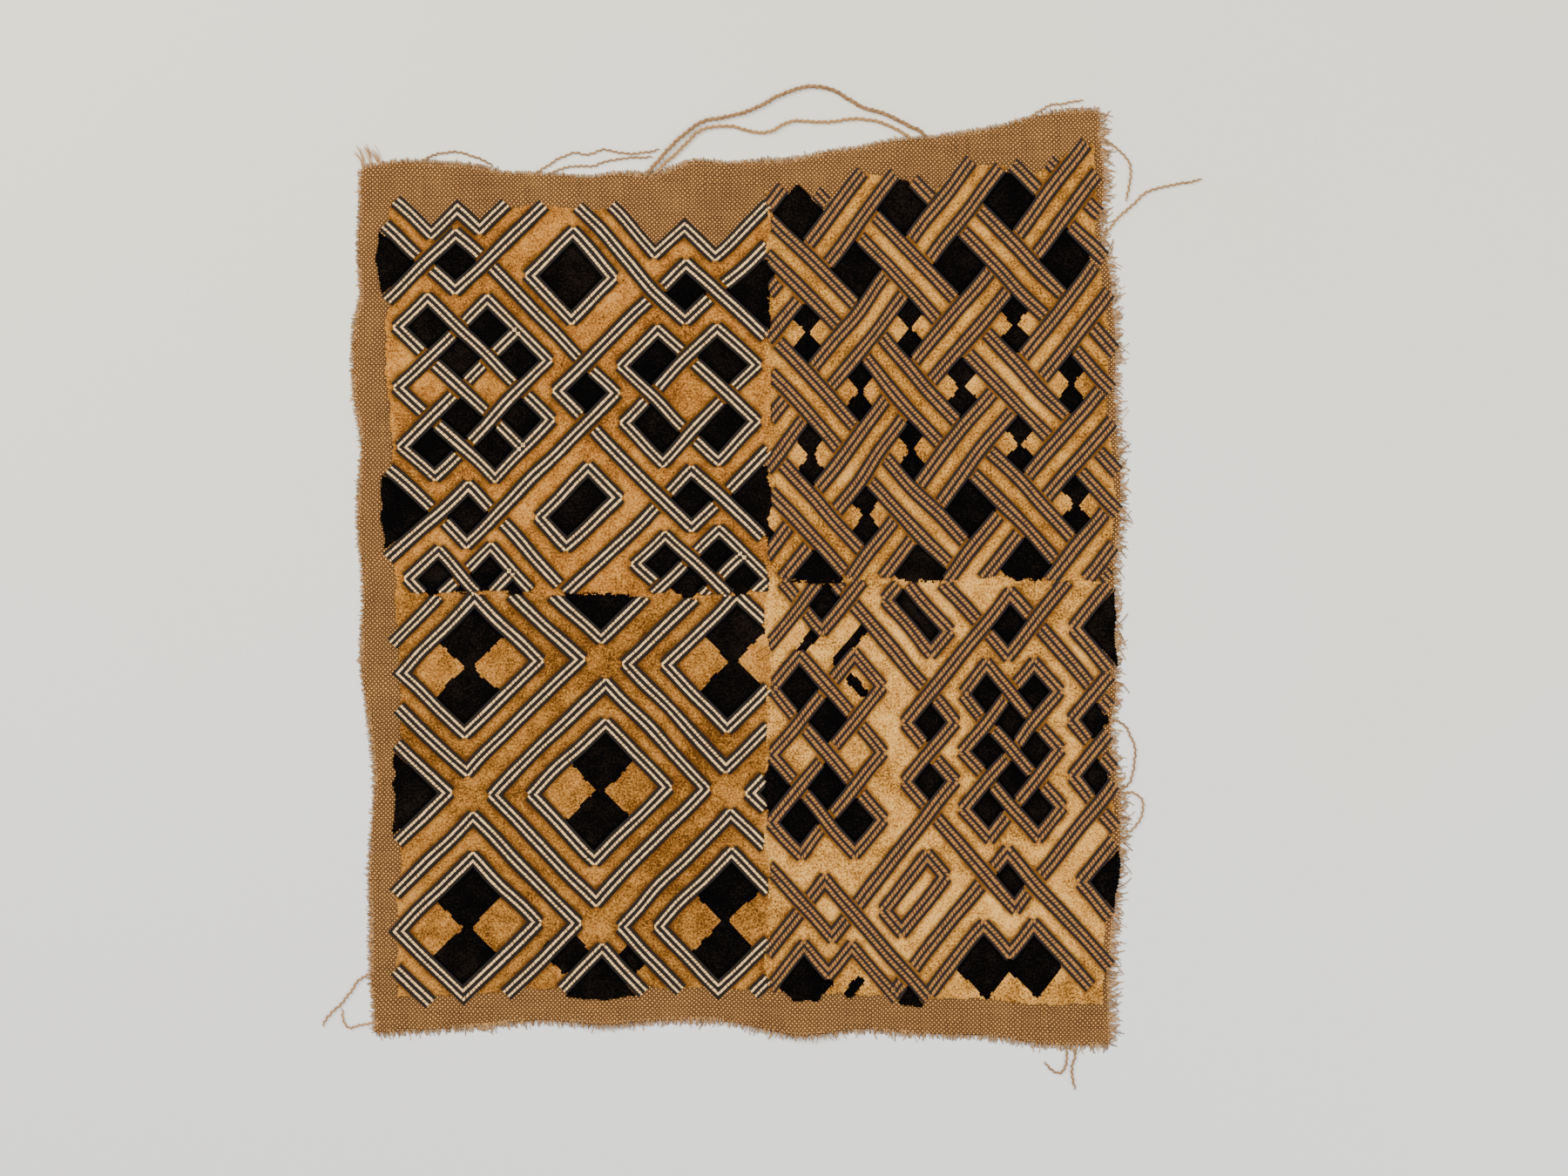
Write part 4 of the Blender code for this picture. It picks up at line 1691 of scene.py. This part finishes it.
def tubes(paths: np.ndarray, radii: np.ndarray, sides: int) -> tuple[np.ndarray, list[np.ndarray]]:
    """Round strands: a circle carried along each path, square to its slope, with both ends closed.

    Args:
        paths: Places in millimetres, strands by points by three.
        radii: One radius for each point, in millimetres.
        sides: How many sides the circle has.

    Returns:
        Vertices and faces.
    """
    slope = np.gradient(paths, axis=1)
    slope /= np.linalg.norm(slope, axis=2)[..., None] + 1e-12
    up = np.array([0.0, 0.0, 1.0])
    level = np.cross(np.broadcast_to(up, slope.shape), slope)
    level /= np.linalg.norm(level, axis=2)[..., None] + 1e-12
    upper = np.cross(slope, level)
    turn = np.arange(sides) / sides * 2 * np.pi
    circle = level[:, :, None] * np.cos(turn)[:, None] + upper[:, :, None] * np.sin(turn)[:, None]
    vertices = paths[:, :, None] + circle * radii[:, :, None, None]
    strands, points = paths.shape[:2]
    numbers = np.arange(strands * points * sides).reshape(strands, points, sides)
    after = np.roll(numbers, -1, axis=2)
    quads = np.stack([numbers[:, :-1], after[:, :-1], after[:, 1:], numbers[:, 1:]], axis=-1).reshape(-1, 4)
    caps = [numbers[:, 0, ::-1], numbers[:, -1]]
    return vertices.reshape(-1, 3), [quads, *caps]


@dataclass
class FrayedSide:
    """One frayed edge: the cloth's own yarn ends, side by side, and the long yarns that have come loose."""

    name: str
    side: SideRows
    length: float
    spread: float
    lean: float
    curl: float
    finish: bpy.types.Material
    seed: int
    pitch: float = 1.17

    def ends(self) -> bpy.types.Object:
        """Short yarn ends: each leaves the edge outwards and drifts aside more and more.

        The drift is the end's length times the sum of its lean times the share reached and its bend times
        that share squared.

        Returns:
            One piece.
        """
        line = smooth_curve(self.side, 4)[:, :2]
        count = round(line_length(line) / self.pitch * 1.6)
        random = np.random.default_rng(self.seed)
        roots = spaced(line, count)
        outward = left_of(roots)
        along = np.column_stack([outward[:, 1], -outward[:, 0]])
        reach = self.length * np.exp(self.spread * random.normal(0, 1, count))
        reach = np.clip(reach, 1.0, self.length * 2.2)
        share = np.linspace(0, 1, 6)
        lean = random.normal(0, self.lean, count)
        bend = random.normal(0, self.curl, count)
        sway = lean[:, None] * share + bend[:, None] * share**2
        spots = (
            (roots - outward * 1.2 + along * random.uniform(-0.6, 0.6, (count, 1)))[:, None]
            + outward[:, None] * ((reach + 2.4)[:, None] * share)[..., None]
            + along[:, None] * (reach[:, None] * sway)[..., None]
        )
        height = 0.75 * (1 - share) + 0.3 + random.uniform(0, 0.8, count)[:, None] * share * (1 - share) * 4
        spots = np.dstack([spots, height + lift(roots)[:, None] * (1 - 0.6 * share)])
        radii = np.linspace(0.52, 0.26, 6) * random.uniform(0.75, 1.2, count)[:, None]
        vertices, faces = tubes(spots, radii, 4)
        tone = np.repeat(random.uniform(0.0, 0.5, count), 6 * 4)
        return make_piece(f"frayed_ends_{self.name}", vertices, faces, self.finish, painted_shade_and_tone=tone)

    def loose(self) -> bpy.types.Object:
        """Long loose yarns: two plies that wind about each route once in 3.2 mm, with a sway and a crimp.

        A route of three points is a yarn that has come undone.

        Returns:
            One piece.
        """
        random = np.random.default_rng(self.seed + 100)
        vertices, faces, tones, first = [], [], [], 0
        for side, width, route in LOOSE_YARNS:
            if side != self.name:
                continue
            route = np.array(route, float)
            step = (route[1] - route[0]) / np.linalg.norm(route[1] - route[0])
            route = np.vstack([route[0] - step * 4, route])
            if len(route) == 4:
                made, grid = self.splayed(route, width, random)
                vertices.append(made)
                faces += [group + first for group in grid]
                tones.append(np.full(len(made), 0.35))
                first += len(made)
                continue
            line = smooth_curve(route, 12)
            count = max(12, round(line_length(line) / 0.7))
            line = spaced(line, count)
            left = left_of(line)
            reached = np.linspace(0, line_length(line), count)
            sway = 0.5 * value_noise(np.column_stack([reached, reached]), 7, self.seed + len(vertices))
            crimp = 0.45 * np.sin(2 * np.pi * (reached / 4.2 + 0.4 * np.sin(reached / 17)))
            line = line + left * (sway + crimp)[:, None]
            turn = 2 * np.pi * reached / 3.2 + random.uniform(0, 6)
            radius = width * 0.46
            plies = []
            for phase in (0, np.pi):
                offset = radius * np.cos(turn + phase)
                height = radius * 2 + 0.05 + radius * np.sin(turn + phase)
                plies.append(np.column_stack([line + left * offset[:, None], height]))
            taper = np.interp(reached, [0, reached[-1] - 6, reached[-1]], [1, 1, 0.5])
            made, grid = tubes(np.stack(plies), np.stack([radius * 0.95 * taper] * 2), 5)
            vertices.append(made)
            faces += [group + first for group in grid]
            tones.append(np.full(len(made), random.uniform(0.1, 0.35)))
            first += len(made)
        return make_piece(
            f"loose_yarns_{self.name}", np.vstack(vertices), faces, self.finish,
            painted_shade_and_tone=np.concatenate(tones),
        )

    def splayed(
        self, route: np.ndarray, width: float, random: np.random.Generator
    ) -> tuple[np.ndarray, list[np.ndarray]]:
        """A short yarn that has come undone: fibres that part along the route, more and more towards its end.

        Args:
            route: The yarn's route.
            width: The yarn's width.
            random: The side's own random numbers.

        Returns:
            Vertices and faces, as from tubes.
        """
        count, points = 7, 14
        line = spaced(smooth_curve(route, 8), points)
        left = left_of(line)
        share = np.linspace(0, 1, points)
        part = random.uniform(-1, 1, (count, 1)) * (0.25 * width + 2.6 * share**1.6)
        curl = random.uniform(-1, 1, (count, 1)) * 1.2 * np.sin(np.pi * share) * share
        reach = random.uniform(0.7, 1.0, (count, 1))
        flat = line[0] + (line - line[0]) * reach[..., None] + left * (part + curl)[..., None]
        height = 1.1 + random.uniform(0, 1.6, (count, 1)) * share
        paths = np.dstack([flat, height])
        return tubes(paths, np.repeat(np.linspace(0.34, 0.2, points)[None], count, axis=0), 5)

    def build(self) -> list[bpy.types.Object]:
        """Both pieces. The ends stand for the edge's CAD node."""
        ends = self.ends()
        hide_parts(f"fray_{self.name}")
        return [ends, self.loose()]


@dataclass(frozen=True)
class SoftBox:
    """One square soft light that faces the cloth's middle: its place and size in metres, watts and colour."""

    name: str
    place: tuple[float, float, float]
    size: float
    watts: float
    colour: str

    def build(self) -> None:
        """Makes the light."""
        light = bpy.data.lights.new(self.name, "AREA")
        light.size = self.size
        light.energy = self.watts
        light.color = linear(self.colour)[:3]
        lamp = bpy.data.objects.new(self.name, light)
        lamp.location = self.place
        lamp.rotation_mode = "QUATERNION"
        lamp.rotation_quaternion = (-lamp.location).to_track_quat("-Z", "Y")
        bpy.context.scene.collection.objects.link(lamp)


@dataclass(frozen=True)
class Studio:
    """The floor, the soft light and the camera over the cloth, in metres but for the camera's sensor."""

    camera_height: float = 2.0
    sensor: float = 36.0
    floor_half: float = 2.5
    lights: tuple[SoftBox, ...] = (
        SoftBox("window", (-1.7, 1.4, 1.9), 1.5, 100, "#FFF7EA"),
        SoftBox("fill", (1.7, -0.5, 2.2), 2.2, 70, "#F6F6FA"),
    )
    room: str = "#F4F5F6"
    room_strength: float = 1.1

    def build(self) -> None:
        """Makes them. The camera looks straight down on the photograph's frame, its upper side towards +Y."""
        scene = bpy.context.scene
        mesh = bpy.data.meshes.new("floor")
        half = self.floor_half
        corners = [(-half, -half, 0), (half, -half, 0), (half, half, 0), (-half, half, 0)]
        mesh.from_pydata(corners, [], [(0, 1, 2, 3)])
        mesh.materials.append(PaintedFloor().build())
        floor = bpy.data.objects.new("floor", mesh)
        scene.collection.objects.link(floor)
        width = FRAME_WIDTH_PX * PIXEL_MM * MM
        camera = bpy.data.cameras.new("camera")
        camera.sensor_width = self.sensor
        camera.lens = self.sensor * self.camera_height / width
        holder = bpy.data.objects.new("camera", camera)
        holder.location = (
            (FRAME_WIDTH_PX / 2 - ORIGIN_PX[0]) * PIXEL_MM * MM,
            (ORIGIN_PX[1] - FRAME_HEIGHT_PX / 2) * PIXEL_MM * MM,
            self.camera_height,
        )
        scene.collection.objects.link(holder)
        scene.camera = holder
        for light in self.lights:
            light.build()
        world = bpy.data.worlds.new("soft_room")
        scene.world = world
        world.use_nodes = True
        background = world.node_tree.nodes["Background"]
        set_inputs(background, {"Color": linear(self.room), "Strength": self.room_strength})


# Pile of each quarter: dark, middle and light tone, and the painted shade at a bar's sides beside the bands
TAN_TONES = {
    "upper_left": ("#4C2C0E", "#985F24", "#C28A42", "#54330F"),
    "lower_left": ("#442708", "#8C5A22", "#BB8440", "#4C2C0E"),
    "upper_right": ("#5C370F", "#AD7632", "#D6A052", "#623C14"),
    "lower_right": ("#5C370F", "#B57E38", "#E0AA5A", "#623C14"),
}


# Frayed edges. Columns: side, its rows, the ends' usual length in millimetres and how it varies, how far
# they lean and how far they curl aside as shares of their length, and seed.
FRAYED_SIDES = (
    ("top", TOP_SIDE, 2.2, 0.22, 0.1, 0.1, 201),
    ("right", RIGHT_SIDE, 4.4, 0.4, 0.4, 0.6, 202),
    ("bottom", BOTTOM_SIDE, 3.0, 0.35, 0.25, 0.35, 203),
    ("left", LEFT_SIDE, 1.8, 0.35, 0.2, 0.3, 204),
)


def main() -> None:
    """Builds the studio, the ground cloth, the four quarters of embroidery and the frayed edges."""
    logging.basicConfig(level=logging.INFO, format="%(message)s")
    Studio().build()
    ground = GroundCloth(PlainWeave().build()).build()
    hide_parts("ground_cloth")
    black = CutPile("cut_raffia_pile_black", "#020202", "#040303", "#17110C", "#020202", 0.02).build()
    stitches = {
        Thread.CREAM: StemStitch("stem_stitch_cream", "#150D07", "#DFBA80", "#76532B").build(),
        Thread.BROWN: StemStitch("stem_stitch_brown", "#1C120D", "#96662F", "#4A2D15", 0.62, 0.21).build(),
    }
    pieces = []
    for quarter in QUARTERS:
        tan = CutPile(f"cut_raffia_pile_tan_{quarter.name}", *TAN_TONES[quarter.name]).build()
        pieces += Embroidery(quarter, tan, black, stitches[quarter.thread]).build()
    yarn = FrayedYarn().build()
    for name, side, length, spread, lean, curl, seed in FRAYED_SIDES:
        pieces += FrayedSide(name, side, length, spread, lean, curl, yarn, seed).build()


if __name__ == "__main__":
    main()
